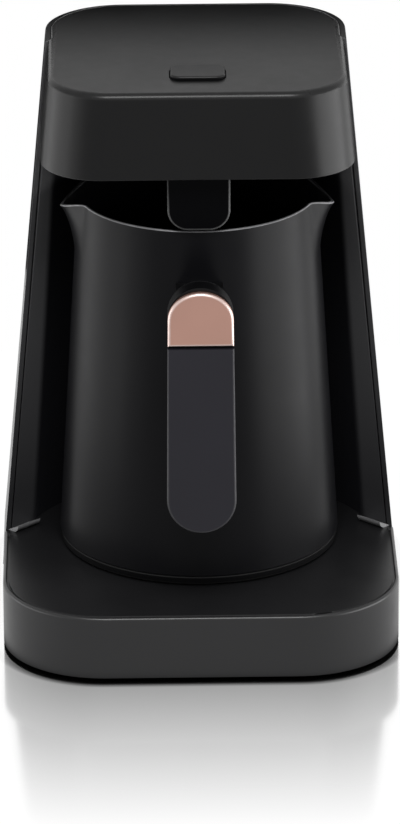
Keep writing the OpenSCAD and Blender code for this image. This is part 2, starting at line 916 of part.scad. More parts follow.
module pod_front(w, r, z0, z1) {
    translate([-w / 2, z0 + r]) square([w, z1 - z0 - r]);
    translate([r - w / 2, z0]) square([w - 2 * r, r]);
    for (side = [-1, 1])
        translate([side * (w / 2 - r), z0 + r]) circle(r, $fn = 64);
}

// Extrudes a front outline along Y between two depths
module along_y(y0, y1) {
    translate([0, y1, 0]) rotate([90, 0, 0]) linear_extrude(y1 - y0) children();
}

module sensor_pod() {
    y1 = pod_y + pod_d;
    edge = pod_flange_edge;
    color([0.07, 0.07, 0.07])
        difference() {
            union() {
                difference() {
                    union() {
                        along_y(pod_y, y1) pod_front(pod_w, pod_r, pod_z, bottom_top + 0.1);
                        translate([-pod_w / 2 - edge, pod_y - 2, bottom_top + 0.1])
                            cube([pod_w + 2 * edge, pod_d + 4, pod_flange_t]);
                    }
                    along_y(pod_y + pod_wall, y1 - pod_wall)
                        pod_front(pod_w - 2 * pod_wall, pod_r - pod_wall, pod_z + pod_wall, head_z + 20);
                }
                // posts under the sensor board
                both_sides()
                    for (dy = [-sensor_board_d / 2 + 2.5, sensor_board_d / 2 - 2.5])
                        translate([sensor_board_w / 2 - 3.5, window_y + dy, pod_z + pod_wall - slip])
                            cylinder(r = 1.5, h = sensor_board_z - pod_z - pod_wall + slip, $fn = 32);
            }
            translate([0, window_y, pod_z - cut]) cylinder(r = window_r, h = pod_wall + 2 * cut);
            both_sides()
                for (y = pod_screw_y)
                    translate([pod_w / 2 + 2.4, y, head_z]) cylinder(r = small_screw_r + 3 * screw_play, h = 10, $fn = 48);
        }
}

module pod_screws() {
    head_seat = bottom_top + 0.1 + pod_flange_t;
    color("silver")
        both_sides()
            for (y = pod_screw_y)
                translate([pod_w / 2 + 2.4, y, head_seat + small_head_h])
                    mirror([0, 0, 1]) screw(small_screw_r, small_head_r, small_head_h, 3, $fn = 48);
}

module sensor_window() {
    color([0.1, 0.02, 0.02])
        translate([0, window_y, pod_z]) {
            translate([0, 0, 0.4]) cylinder(r = window_r - screw_play, h = pod_wall - 0.2, $fn = 64);
            translate([0, 0, pod_wall + 0.1]) cylinder(r = window_r + 0.8, h = window_t, $fn = 64);
        }
}

module sensor_board() {
    color([0.1, 0.35, 0.15])
        translate([-sensor_board_w / 2, window_y - sensor_board_d / 2, sensor_board_z])
            cube([sensor_board_w, sensor_board_d, sensor_board_t]);
}

module ir_sensor() {
    color("gold")
        translate([0, window_y, sensor_board_z - ir_h]) {
            cylinder(r = ir_r - 0.4, h = ir_h, $fn = 64);
            translate([0, 0, ir_h - 0.8]) cylinder(r = ir_r, h = 0.8, $fn = 64);
        }
}

// ---------- jug ----------

// Wedge that carries one pouring beak. Pulled in by the wall and open to the top, it is the channel
module beak(inward, open = 0) {
    r = 0.8;
    root_y = beak_half_w - inward * 1.6;
    root_x = sqrt(pow(jug_rim_r, 2) - pow(beak_half_w, 2)) - r - inward;
    tip_x = jug_rim_r + beak_reach - r - inward * 1.4;
    tip_z = rim_z - beak_drop + inward * 1.4;
    low_z = rim_z - 23 + inward * 2.4;
    low_x = jug_r_at(low_z) - r - inward;
    hull() {
        for (s = [-1, 1], back = [0, 6])
            translate([root_x - back, s * root_y, rim_z - r + open]) sphere(r, $fn = 16);
        for (up = [0, open])
            translate([tip_x, 0, tip_z + up]) sphere(r, $fn = 16);
        for (back = [0, 6])
            translate([low_x - back, 0, low_z]) sphere(r, $fn = 16);
    }
}

module jug_body() {
    floor_z = jug_body_z + jug_wall;
    color([0.13, 0.13, 0.13])
        difference() {
            union() {
                translate([0, 0, jug_body_z]) cylinder(r1 = jug_foot_r, r2 = jug_rim_r, h = rim_z - jug_body_z);
                both_sides() beak(0);
            }
            translate([0, 0, floor_z])
                cylinder(r1 = jug_r_at(floor_z) - jug_wall, r2 = jug_rim_r - jug_wall - jug_slope * cut, h = rim_z - floor_z + cut);
            both_sides() beak(jug_wall, beak_drop + 3);
        }
}

module jug_base() {
    color([0.1, 0.1, 0.1])
        translate([0, 0, jug_z]) cylinder(r = jug_foot_r - 0.3, h = jug_base_h);
}

// ---------- handle ----------

module handle_plan(grow = 0) {
    hull() {
        translate([0, handle_z1 - handle_top_w / 2]) circle(handle_top_w / 2 + grow, $fn = 64);
        translate([0, handle_z0 + handle_foot_w / 2]) circle(handle_foot_w / 2 + grow, $fn = 64);
    }
}

// Cone that follows the jug's wall at a distance
module jug_offset(gap, z0, z1) {
    translate([0, 0, z0]) cylinder(r1 = jug_r_at(z0) + gap, r2 = jug_r_at(z1) + gap, h = z1 - z0);
}

module handle_bracket() {
    z0 = bridge_z - bridge_h / 2;
    z1 = bridge_z + bridge_h / 2;
    color([0.5, 0.5, 0.5])
        difference() {
            intersection() {
                union() {
                    jug_offset(bracket_gap + bracket_t, z0 - 5, z1 + 5);
                    translate([0, -jug_r_at(bridge_z), bridge_z])
                        rotate([90, 0, 0]) cylinder(r = bracket_boss_r, h = bracket_boss_h, $fn = 48);
                }
                translate([-bridge_w / 2, -jug_foot_r - 10, z0]) cube([bridge_w, 30, bridge_h]);
            }
            jug_offset(bracket_gap, z0 - 6, z1 + 6);
            translate([0, -jug_r_at(bridge_z) - 1.2, bridge_z])
                rotate([90, 0, 0]) cylinder(r = handle_screw_r + screw_play, h = 20, $fn = 48);
        }
}

module peg_at(x, z, r, length) {
    translate([x, panel_back - slip, z]) rotate([-90, 0, 0]) cylinder(r = r, h = length + slip, $fn = 32);
}

module cap_pegs(r, length) {
    both_sides() peg_at(7, cap_z + 4, r, length);
}

module grip_pegs(r, length) {
    for (z = [handle_z0 + 14, cap_z - 14]) peg_at(0, z, r, length);
}

module handle_core() {
    reach_in = -jug_r_at(bridge_z) + 3;
    color([0.06, 0.06, 0.06])
        difference() {
            union() {
                along_y(panel_back + 0.02, handle_back) handle_plan();
                along_y(handle_back - slip, reach_in)
                    translate([0, bridge_z]) square([bridge_w, bridge_h], center = true);
            }
            jug_offset(bracket_gap + bracket_t + 0.05, handle_z0, rim_z);
            translate([0, reach_in, bridge_z])
                rotate([90, 0, 0]) cylinder(r = bracket_boss_r + 0.1, h = bracket_boss_h + 3.2, $fn = 48);
            translate([0, reach_in, bridge_z]) rotate([90, 0, 0]) cylinder(r = handle_screw_r + 0.2, h = 60, $fn = 48);
            translate([0, panel_back + 4, bridge_z])
                rotate([90, 0, 0]) cylinder(r = handle_screw_head_r + 0.2, h = 4 + cut, $fn = 48);
            cap_pegs(peg_r + screw_play, peg_len + 0.3);
            grip_pegs(peg_r + screw_play, peg_len + 0.3);
        }
}

module handle_grip() {
    color([0.2, 0.2, 0.21]) {
        intersection() {
            along_y(handle_front, panel_back) handle_plan();
            translate([-50, handle_front - 10, handle_z0 - 10]) cube([100, 30, cap_z - seam - handle_z0 + 10]);
        }
        grip_pegs(peg_r, peg_len);
    }
}

module handle_cap() {
    color([0.75, 0.55, 0.47]) {
        intersection() {
            along_y(handle_front, panel_back) handle_plan();
            translate([-50, handle_front - 10, cap_z]) cube([100, 30, cap_h + 10]);
        }
        cap_pegs(peg_r, peg_len);
    }
}

module handle_screw() {
    color("silver")
        translate([0, panel_back + 4 - 2.4, bridge_z])
            rotate([-90, 0, 0]) screw(handle_screw_r, handle_screw_head_r, 2.4, -(panel_back + 4) - jug_r_at(bridge_z) - 2, $fn = 48);
}

base_housing();
bottom_cover();
rubber_feet();
cover_screws();
heating_plate();
plate_seal();
heating_element();
heat_shield();
plate_screws();
thermostat();
thermal_fuse();
temperature_sensor();
outer_shell();
shell_screws();
column_liner();
power_board();
power_board_screws();
relay();
power_transformer();
terminal_block();
filter_capacitor();
wiring_loom();
cord_inlet_bush();
head_housing();
head_bottom_cover();
head_screws();
control_board();
control_board_screws();
button_switch();
buzzer();
button_spring();
start_button();
sensor_pod();
pod_screws();
sensor_window();
sensor_board();
ir_sensor();
jug_body();
jug_base();
handle_bracket();
handle_core();
handle_grip();
handle_cap();
handle_screw();
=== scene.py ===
# %% [markdown]
# # Electric Turkish coffee maker
# A low base carries a tapered column, and a square head hangs forward over a jug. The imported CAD
# model gives every size and every moving body. This script dresses it: it rebuilds the parts that
# show with soft moulded edges, gives each one its finish, and sets up a plain white studio.
# Shapes and the camera are worked out in millimetres, because a maker thinks in millimetres. The
# studio round them, with its table, lights and flags, is laid out in metres.

# %% Load the frame
import json
import math

import bmesh
import bpy
from mathutils import Matrix, Vector

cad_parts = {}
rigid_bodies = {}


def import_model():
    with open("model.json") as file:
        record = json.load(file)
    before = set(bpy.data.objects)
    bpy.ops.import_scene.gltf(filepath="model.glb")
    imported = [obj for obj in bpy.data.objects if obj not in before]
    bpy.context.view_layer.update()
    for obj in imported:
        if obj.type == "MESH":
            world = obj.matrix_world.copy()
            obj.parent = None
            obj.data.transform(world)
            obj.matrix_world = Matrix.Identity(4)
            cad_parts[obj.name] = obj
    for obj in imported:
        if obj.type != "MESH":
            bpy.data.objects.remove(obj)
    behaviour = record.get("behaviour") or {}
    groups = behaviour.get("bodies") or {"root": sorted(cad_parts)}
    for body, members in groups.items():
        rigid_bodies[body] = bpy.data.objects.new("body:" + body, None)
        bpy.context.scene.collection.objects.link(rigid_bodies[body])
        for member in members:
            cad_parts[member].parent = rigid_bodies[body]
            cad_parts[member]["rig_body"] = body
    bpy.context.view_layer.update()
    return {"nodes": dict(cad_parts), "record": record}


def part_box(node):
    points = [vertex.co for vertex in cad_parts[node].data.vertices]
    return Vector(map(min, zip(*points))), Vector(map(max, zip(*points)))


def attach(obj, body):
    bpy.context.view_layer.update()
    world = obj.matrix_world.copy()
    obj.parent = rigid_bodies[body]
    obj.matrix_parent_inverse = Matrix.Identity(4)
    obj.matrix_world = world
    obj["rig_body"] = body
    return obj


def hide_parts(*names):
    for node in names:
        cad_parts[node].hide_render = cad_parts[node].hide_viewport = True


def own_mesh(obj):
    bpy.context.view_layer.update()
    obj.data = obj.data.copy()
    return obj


MM = 0.001
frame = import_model()
nodes = frame["nodes"]


# %% [markdown]
# ## Camera
# The photograph was taken with a long lens from about 2.5 m, looking down by a good 20 degrees, a
# touch from the left and with the camera tipped a third of a degree. A long lens keeps the column
# nearly upright in the picture. The place is worked out from the side angle and the distance, so
# that one number can be changed without the others running away.

# %% Camera
CAMERA_DISTANCE = 2340
CAMERA_HEIGHT = 1004
CAMERA_PITCH = 21.6
CAMERA_SIDE = -0.75
CAMERA_YAW = 0.0152
CAMERA_ROLL = 0.35
LENS = 280.1
SENSOR_WIDTH = 36


def make_camera():
    side = math.radians(CAMERA_SIDE)
    place = Vector((math.sin(side), -math.cos(side), 0)) * CAMERA_DISTANCE
    place.z = CAMERA_HEIGHT
    data = bpy.data.cameras.new("studio_camera")
    data.lens = LENS
    data.sensor_width = SENSOR_WIDTH
    camera = bpy.data.objects.new("studio_camera", data)
    bpy.context.scene.collection.objects.link(camera)
    facing = Matrix.Rotation(side - math.radians(CAMERA_YAW), 4, "Z")
    pitch = Matrix.Rotation(math.radians(90 - CAMERA_PITCH), 4, "X")
    roll = Matrix.Rotation(math.radians(-CAMERA_ROLL), 4, "Z")
    camera.matrix_world = Matrix.Translation(place * MM) @ facing @ pitch @ roll
    bpy.context.scene.camera = camera
    return camera


camera = make_camera()
print("camera at", [round(v, 3) for v in camera.matrix_world.translation])


# %% [markdown]
# ## Shader sums in Python
# A finish is a small chain of nodes. Writing the chain as sums keeps it readable, so one class wraps
# a socket and turns plus, minus and times into Math nodes. Colours never go through it, because a
# Math node would turn them grey: they go through a Mix node, whose sockets are known by number.

# %% A wire for shader sums
class Wire:
    """A shader socket that Python can add, subtract and multiply."""

    def __init__(self, tree, socket=None):
        self.tree = tree
        self.socket = socket

    def node(self, kind, settings=None, sockets=None, output=0):
        made = self.tree.nodes.new(kind)
        for name, value in (settings or {}).items():
            setattr(made, name, value)
        for name, value in (sockets or {}).items():
            if isinstance(value, Wire):
                self.tree.links.new(value.socket, made.inputs[name])
            else:
                made.inputs[name].default_value = value
        return Wire(self.tree, made.outputs[output] if made.outputs else None)

    def sum(self, operation, first, second=0.0):
        return self.node("ShaderNodeMath", {"operation": operation}, {0: first, 1: second})

    def axis(self, letter):
        """One coordinate of a vector."""
        return self.node("ShaderNodeSeparateXYZ", sockets={"Vector": self}, output=letter)

    def ramp(self, start, end, low=0.0, high=1.0):
        """Runs from low to high while the value runs from start to end, and is flat outside."""
        span = {"From Min": start, "From Max": end, "To Min": low, "To Max": high}
        return self.node("ShaderNodeMapRange", sockets={"Value": self, **span})

    def __add__(self, other):
        return self.sum("ADD", self, other)

    def __sub__(self, other):
        return self.sum("SUBTRACT", self, other)

    def __rsub__(self, other):
        return self.sum("SUBTRACT", other, self)

    def __mul__(self, other):
        return self.sum("MULTIPLY", self, other)

    __radd__ = __add__


# %% Colours and materials
MIX_SHARE = 0
MIX_FIRST = 6
MIX_SECOND = 7
MIX_RESULT = 2
WHITE = (1, 1, 1, 1)


def mix_colours(share, first, second):
    """From the first colour to the second. A colour is a wire or three numbers."""
    ends = {MIX_SHARE: share}
    for place, colour in ((MIX_FIRST, first), (MIX_SECOND, second)):
        ends[place] = colour if isinstance(colour, Wire) else (*colour, 1)
    return share.node("ShaderNodeMix", {"data_type": "RGBA"}, ends, output=MIX_RESULT)


def blank_tree(owner):
    owner.use_nodes = True
    owner.node_tree.nodes.clear()
    return Wire(owner.node_tree)


def make_material(name, surface_of):
    """A material whose surface is made on a blank tree by a function."""
    material = bpy.data.materials.new(name)
    wire = blank_tree(material)
    wire.node("ShaderNodeOutputMaterial", sockets={"Surface": surface_of(wire)})
    return material


# %% [markdown]
# ## Table
# The machine stands on a plain white table that mirrors the foot of the base faintly. The table's
# own white is only for the camera, for reflections and for what is seen through something clear, so
# it adds no light to the object, and a part of its look stays an ordinary lit surface, which keeps
# the object's shadow. The mirror fades away from the base. Beneath the base and in a thin band round
# its foot the white goes out and the mirror takes over: a painted contact shadow.

# %% White table
TABLE_HALF = 0.27
FOOTPRINT_HALF = 0.077
FOOTPRINT_DEPTH = 0.085
FOOTPRINT_CORNER = 0.04
PAPER = (0.9, 0.9, 0.9, 1)
MIRROR_REACH = 0.14
MIRROR_SHARE = 0.72
MIRROR_ROUGHNESS = 0.12
PAINTED_SHADOW_REACH = 0.0055
GLOW_SHARE = 0.9
GLOW_STRENGTH = 1.07


def backdrop_rays(wire):
    """One for the rays that may see the white backdrop: camera, glossy and transmission rays."""
    camera_ray = wire.node("ShaderNodeLightPath", output="Is Camera Ray")
    glossy_ray = wire.node("ShaderNodeLightPath", output="Is Glossy Ray")
    clear_ray = wire.node("ShaderNodeLightPath", output="Is Transmission Ray")
    return wire.sum("MAXIMUM", camera_ray, wire.sum("MAXIMUM", glossy_ray, clear_ray))


def outside_footprint(place):
    """How far a point of the table lies outside the base's rounded outline, in metres."""
    past = []
    for letter, half in (("X", FOOTPRINT_HALF), ("Y", FOOTPRINT_DEPTH)):
        away = place.sum("ABSOLUTE", place.axis(letter))
        past.append(place.sum("MAXIMUM", away - (half - FOOTPRINT_CORNER)))
    across, along = past
    return place.sum("SQRT", across * across + along * along) - FOOTPRINT_CORNER


def table_surface(wire):
    gap = outside_footprint(wire.node("ShaderNodeTexCoord", output="Object"))
    fading = gap.ramp(0.0, MIRROR_REACH, MIRROR_SHARE, 0.0)
    # Painted shadow: the white goes out beneath the base and in a thin band round its foot.
    outside_painted_shadow = gap.ramp(PAINTED_SHADOW_REACH / 4, PAINTED_SHADOW_REACH)
    mirror = fading + (1 - outside_painted_shadow) * (1 - MIRROR_SHARE)
    paper = wire.node("ShaderNodeBsdfDiffuse", sockets={"Color": PAPER})
    glow = backdrop_rays(wire) * outside_painted_shadow * GLOW_STRENGTH
    white = wire.node("ShaderNodeEmission", sockets={"Strength": glow})
    sheet = wire.node("ShaderNodeMixShader", sockets={0: GLOW_SHARE, 1: paper, 2: white})
    polish = {"Color": WHITE, "Roughness": MIRROR_ROUGHNESS}
    gloss = wire.node("ShaderNodeBsdfGlossy", sockets=polish)
    share = mirror * wire.node("ShaderNodeLightPath", output="Is Camera Ray")
    return wire.node("ShaderNodeMixShader", sockets={0: share, 1: sheet, 2: gloss})


def stand_sheet(name, matrix, material):
    """A flat sheet of the studio, two units wide before its matrix."""
    bm = bmesh.new()
    bmesh.ops.create_grid(bm, x_segments=1, y_segments=1, size=1, matrix=matrix)
    mesh = bpy.data.meshes.new(name)
    bm.to_mesh(mesh)
    bm.free()
    sheet = bpy.data.objects.new(name, mesh)
    bpy.context.scene.collection.objects.link(sheet)
    mesh.materials.append(material)
    return sheet


table_size = Matrix.Diagonal((TABLE_HALF, TABLE_HALF, 1, 1))
stand_sheet("studio_table", table_size, make_material("table_white", table_surface))
print("table", 2 * TABLE_HALF, "m wide")


# %% [markdown]
# ## Light
# Black plastic shows almost nothing but reflections. The room is white to the camera and in every
# reflection, and dim as a light. Two tall soft boxes stand at each side, a strong one abreast and a
# faint one to fill beside it, so that the rounded corners carry a pale band. Upright walls seen from
# above mirror what lies below the horizon, so the boxes reach below the table's level. A broad fill
# above the camera gives colours their plain level.

# %% Room
ROOM_LIGHT = 0.1


def make_room():
    world = bpy.data.worlds.new("studio_room")
    bpy.context.scene.world = world
    wire = blank_tree(world)
    seen = backdrop_rays(wire)
    strength = seen + (1 - seen) * ROOM_LIGHT
    light = wire.node("ShaderNodeBackground", sockets={"Color": WHITE, "Strength": strength})
    wire.node("ShaderNodeOutputWorld", sockets={"Surface": light})


make_room()
bpy.context.scene.view_settings.view_transform = "Standard"


# %% Soft boxes
# Each box has its place, its width and height, and its power in watts.
SOFT_BOXES = {
    "left_box": ((-1.05, 0.1, -0.05), 1.1, 1.0, 6.4),
    "left_front_box": ((-0.98, -0.5, -0.05), 0.6, 1.0, 1.8),
    "right_box": ((1.06, -0.2, -0.05), 1.2, 1.0, 18),
    "right_back_box": ((0.85, 0.75, -0.05), 0.6, 1.0, 1.2),
    "front_fill": ((0, -1.3, 1.7), 1.0, 0.8, 34),
}
LIGHT_AIM = Vector((0, 0, 0.12))


def soft_box(name, place, width, height, watts):
    light = bpy.data.lights.new(name, "AREA")
    light.shape = "RECTANGLE"
    light.size = width
    light.size_y = height
    light.energy = watts
    lamp = bpy.data.objects.new(name, light)
    lamp.visible_camera = False
    bpy.context.scene.collection.objects.link(lamp)
    look = (LIGHT_AIM - Vector(place)).to_track_quat("-Z", "Y")
    lamp.matrix_world = Matrix.Translation(place) @ look.to_matrix().to_4x4()


for box_name, box in SOFT_BOXES.items():
    soft_box(box_name, *box)
print("lights", [lamp.name for lamp in bpy.data.lights])


# %% [markdown]
# ## Black flags
# Photographers hold a small black card, a flag, where a surface would mirror too much white. These
# are seen only in reflections, so no shadow or dark shape shows anywhere. The one just behind the
# head lets its top grow lighter from its back edge to its front, and is met by rising rays. One
# behind each side keeps the walls that the camera only grazes from turning white, and is met by
# falling rays. A ray going the other way passes through, so the table mirrors no flag.

# %% Black flags
# Each flag has its place across, its height, and half its width and half its own height.
FLAG_BACK = 0.09
TOP_FLAG = (0, 0.241, 0.076, 0.016)
SIDE_FLAG = (0.1, 0.165, 0.042, 0.06)
FLAG_BLACK = (0.002, 0.002, 0.002, 1)
RISING = -1
FALLING = 1


def make_flag(name, rays, across, height, half_width, half_height):
    def surface(wire):
        back_along_ray = wire.node("ShaderNodeNewGeometry", output="Incoming")
        met = wire.sum("GREATER_THAN", back_along_ray.axis("Z") * rays)
        clear = wire.node("ShaderNodeBsdfTransparent")
        cloth = wire.node("ShaderNodeBsdfDiffuse", sockets={"Color": FLAG_BLACK})
        return wire.node("ShaderNodeMixShader", sockets={0: met, 1: clear, 2: cloth})

    place = Matrix.Translation((across, FLAG_BACK, height)) @ Matrix.Rotation(math.pi / 2, 4, "X")
    size = Matrix.Diagonal((half_width, half_height, 1, 1))
    flag = stand_sheet(name, place @ size, make_material(name + "_cloth", surface))
    for ray in ("camera", "diffuse", "shadow", "transmission"):
        setattr(flag, "visible_" + ray, False)


make_flag("top_flag", RISING, *TOP_FLAG)
make_flag("right_flag", FALLING, *SIDE_FLAG)
make_flag("left_flag", FALLING, -SIDE_FLAG[0], *SIDE_FLAG[1:])
print("flags, middle and half size in m:", TOP_FLAG, SIDE_FLAG)


# %% [markdown]
# ## Finishes
# Nearly everything outside is black moulded plastic. Real moulded plastic is never one even tone: it
# has a fine spark-eroded grain, cloudy patches where it is a little more or less glossy, and faint
# rubbing. Three noises at their real sizes give these: clouds of 3 to 4 cm, rubbing of some
# millimetres and a grain of half a millimetre that only bends the light. The middle of each rounded
# edge is painted paler and a little smoother, a painted highlight broken up by a noise: the meshes
# mark it with an attribute.

# %% Moulded plastic
EDGE_HIGHLIGHT_NAME = "painted_edge_highlight"
EDGE_HIGHLIGHT_LEAST = 0.5
EDGE_HIGHLIGHT_SPREAD = 0.6
EDGE_HIGHLIGHT_PATCH = 3
CLOUD = 34
CLOUD_TINT = 0.16
CLOUD_SWING = 0.1
RUB = 5
RUB_SWING = 0.08
EDGE_POLISH = 0.08


def finish(name, looks_of):
    """A material that is one Principled shader with the looks a function gives."""
    return make_material(name, lambda wire: wire.node("ShaderNodeBsdfPrincipled", sockets=looks_of(wire)))


def noise(wire, size_mm, detail=2.0, stretch=(1, 1, 1)):
    place = wire.node("ShaderNodeTexCoord", output="Object")
    turned = wire.node("ShaderNodeMapping", sockets={"Vector": place, "Scale": stretch})
    pattern = {"Vector": turned, "Scale": 1 / (size_mm * MM), "Detail": detail}
    return wire.node("ShaderNodeTexNoise", sockets=pattern)


def swing(pattern, size):
    """A pattern that swings evenly to both sides of zero."""
    return (pattern - 0.5) * size


def tint(pattern, colour, change):
    """A colour that drifts between a darker and a lighter shade of itself."""
    darker = [c * (1 - change) for c in colour]
    lighter = [min(1, c * (1 + change)) for c in colour]
    return mix_colours(pattern, darker, lighter)


def bumped(height, depth_mm):
    return height.node("ShaderNodeBump", sockets={"Height": height, "Distance": depth_mm * MM})


def painted_edge_highlight(wire):
    """How much painted highlight a point gets: one along the middle of a rounded edge, broken up by a
    noise.
    """
    highlight_mark = wire.node("ShaderNodeAttribute", {"attribute_name": EDGE_HIGHLIGHT_NAME}, output="Fac")
    return highlight_mark * (EDGE_HIGHLIGHT_LEAST + noise(wire, EDGE_HIGHLIGHT_PATCH, 3.0) * EDGE_HIGHLIGHT_SPREAD)


def plastic(name, colour, roughness, grain_mm=0.5, depth_mm=0.012, specular=0.16, edge_highlight_lift=0.02):
    def looks(wire):
        cloud = noise(wire, CLOUD)
        uneven = swing(cloud, CLOUD_SWING) + swing(noise(wire, RUB, 4.0), RUB_SWING)
        # The edge mark lifts the colour along each rounding: a painted highlight.
        edge = painted_edge_highlight(wire)
        highlight_colour = [min(1, c + edge_highlight_lift) for c in colour]
        return {
            "Base Color": mix_colours(edge, tint(cloud, colour, CLOUD_TINT), highlight_colour),
            "Roughness": roughness + uneven - edge * EDGE_POLISH,
            "Normal": bumped(noise(wire, grain_mm, 3.0), depth_mm),
            "Specular IOR Level": specular,
        }

    return finish(name, looks)


# %% [markdown]
# ## Metal, rubber and the small inside parts
# Turned and drawn metal carries fine lines along the way it was worked, so its noise is stretched.
# Rubber is dull with a soft dusty bloom. The copper cap is a lacquered satin metal with a very fine
# brushing across it.

# %% Metal and rubber
SHEEN = 22
SHEEN_TINT = 0.07
SHEEN_SWING = 0.06
LINE_SWING = 0.12
METAL_EDGE_HIGHLIGHT = 0.34
BLOOM = 9
BLOOM_TINT = 0.3
BLOOM_SWING = 0.16
PORE = 0.7
PORE_DEPTH = 0.03
RUBBER_ROUGHNESS = 0.72
RUBBER_SPECULAR = 0.35


def metal(name, colour, roughness, stretch=(1, 1, 1), line_mm=0.6, depth_mm=0.006, metallic=1.0):
    def looks(wire):
        lines = noise(wire, line_mm, 3.0, stretch)
        sheen = noise(wire, SHEEN)
        # Paler along each rounding: a painted highlight.
        highlight_colour = [c + (1 - c) * METAL_EDGE_HIGHLIGHT for c in colour]
        return {
            "Base Color": mix_colours(painted_edge_highlight(wire), tint(sheen, colour, SHEEN_TINT), highlight_colour),
            "Roughness": roughness + swing(lines, LINE_SWING) + swing(sheen, SHEEN_SWING),
            "Metallic": metallic,
            "Normal": bumped(lines, depth_mm),
        }

    return finish(name, looks)


def rubber(name, colour):
    def looks(wire):
        bloom = noise(wire, BLOOM, 4.0)
        return {
            "Base Color": tint(bloom, colour, BLOOM_TINT),
            "Roughness": RUBBER_ROUGHNESS + swing(bloom, BLOOM_SWING),
            "Normal": bumped(noise(wire, PORE, 3.0), PORE_DEPTH),
            "Specular IOR Level": RUBBER_SPECULAR,
        }

    return finish(name, looks)


# %% [markdown]
# ## Finishes that change over one piece
# The liner is one moulding. Its wing faces are smoother, and their colour is painted lighter than
# the niche between them: painted light on the wing faces, with the niche left dark as shade. The
# painted light also grows towards the top, for the light that the head's overhang keeps off. The
# wings' inner edges lean in as they rise, so the border is where the width plus a share of the height
# passes one value. The shell's front edges lie in the same two slanting planes as the wing faces and
# get the same smoothness and painted light. The jug's lip is painted as pale steel, a painted
# highlight that is full on its near half and faint on its far half.

# %% Liner, shell and jug finishes
WING_LEAN = 0.0666
WING_SPLAY = 1.05
GLOSS_AND_LIGHT_END = 22
GLOSS_AND_LIGHT_FULL = 18
PAINTED_LIGHT_FOOT = 40
PAINTED_LIGHT_TOP = 170
PAINTED_LIGHT_LOW = (0.034, 0.034, 0.036)
PAINTED_LIGHT_HIGH = (0.12, 0.12, 0.124)
POLISH_SMOOTH = 0.08
NICHE_SWING = 0.1
JUG_BLACK = (0.0035, 0.0035, 0.0042)
LIP_PAINTED_HIGHLIGHT = (0.3, 0.3, 0.31)


def painted_light_two_tone(name, low_mm, high_mm, along_splay, matt_colour, roughness, specular):
    """Matt plastic that is smoother and painted lighter, as painted light, where a slanting measure passes
    from its low to its high value; the painted light grows towards the top.
    """

    def looks(wire):
        place = wire.node("ShaderNodeTexCoord", output="Object")
        along = place.axis("Y")
        height = place.axis("Z")
        across = wire.sum("ABSOLUTE", place.axis("X"))
        spread = across + height * WING_LEAN + along * along_splay
        front = along.ramp(GLOSS_AND_LIGHT_END * MM, GLOSS_AND_LIGHT_FULL * MM)
        # The wing mask gives the wing faces a lighter colour than the niche: painted light, with the niche
        # left as shade.
        gloss_and_light = spread.ramp(low_mm * MM, high_mm * MM) * front
        # Lighter towards the top: painted light for what the head's overhang shades.
        painted_light_rise = height.ramp(PAINTED_LIGHT_FOOT * MM, PAINTED_LIGHT_TOP * MM)
        painted_light_colour = mix_colours(painted_light_rise, PAINTED_LIGHT_LOW, PAINTED_LIGHT_HIGH)
        rubbed = swing(noise(wire, RUB, 4.0), NICHE_SWING)
        return {
            "Base Color": mix_colours(gloss_and_light, matt_colour, painted_light_colour),
            "Roughness": roughness - gloss_and_light * POLISH_SMOOTH + rubbed,
            "Normal": bumped(noise(wire, 0.5, 3.0), 0.014),
            "Specular IOR Level": specular,
        }

    return finish(name, looks)


def jug_coating():
    def looks(wire):
        # The lip's edge mark paints it as pale steel: a painted highlight.
        lip_highlight = painted_edge_highlight(wire)
        uneven = swing(noise(wire, CLOUD), CLOUD_SWING) + swing(noise(wire, RUB, 4.0), RUB_SWING)
        return {
            "Base Color": mix_colours(lip_highlight, JUG_BLACK, LIP_PAINTED_HIGHLIGHT),
            "Roughness": 0.33 + uneven,
            "Metallic": lip_highlight * 0.5,
            "Normal": bumped(noise(wire, 0.7, 3.0), 0.01),
            "Specular IOR Level": 0.075,
        }

    return finish("jug_coating", looks)


# %% All finishes
ALONG = (1, 1, 1)
ACROSS = (1, 18, 18)
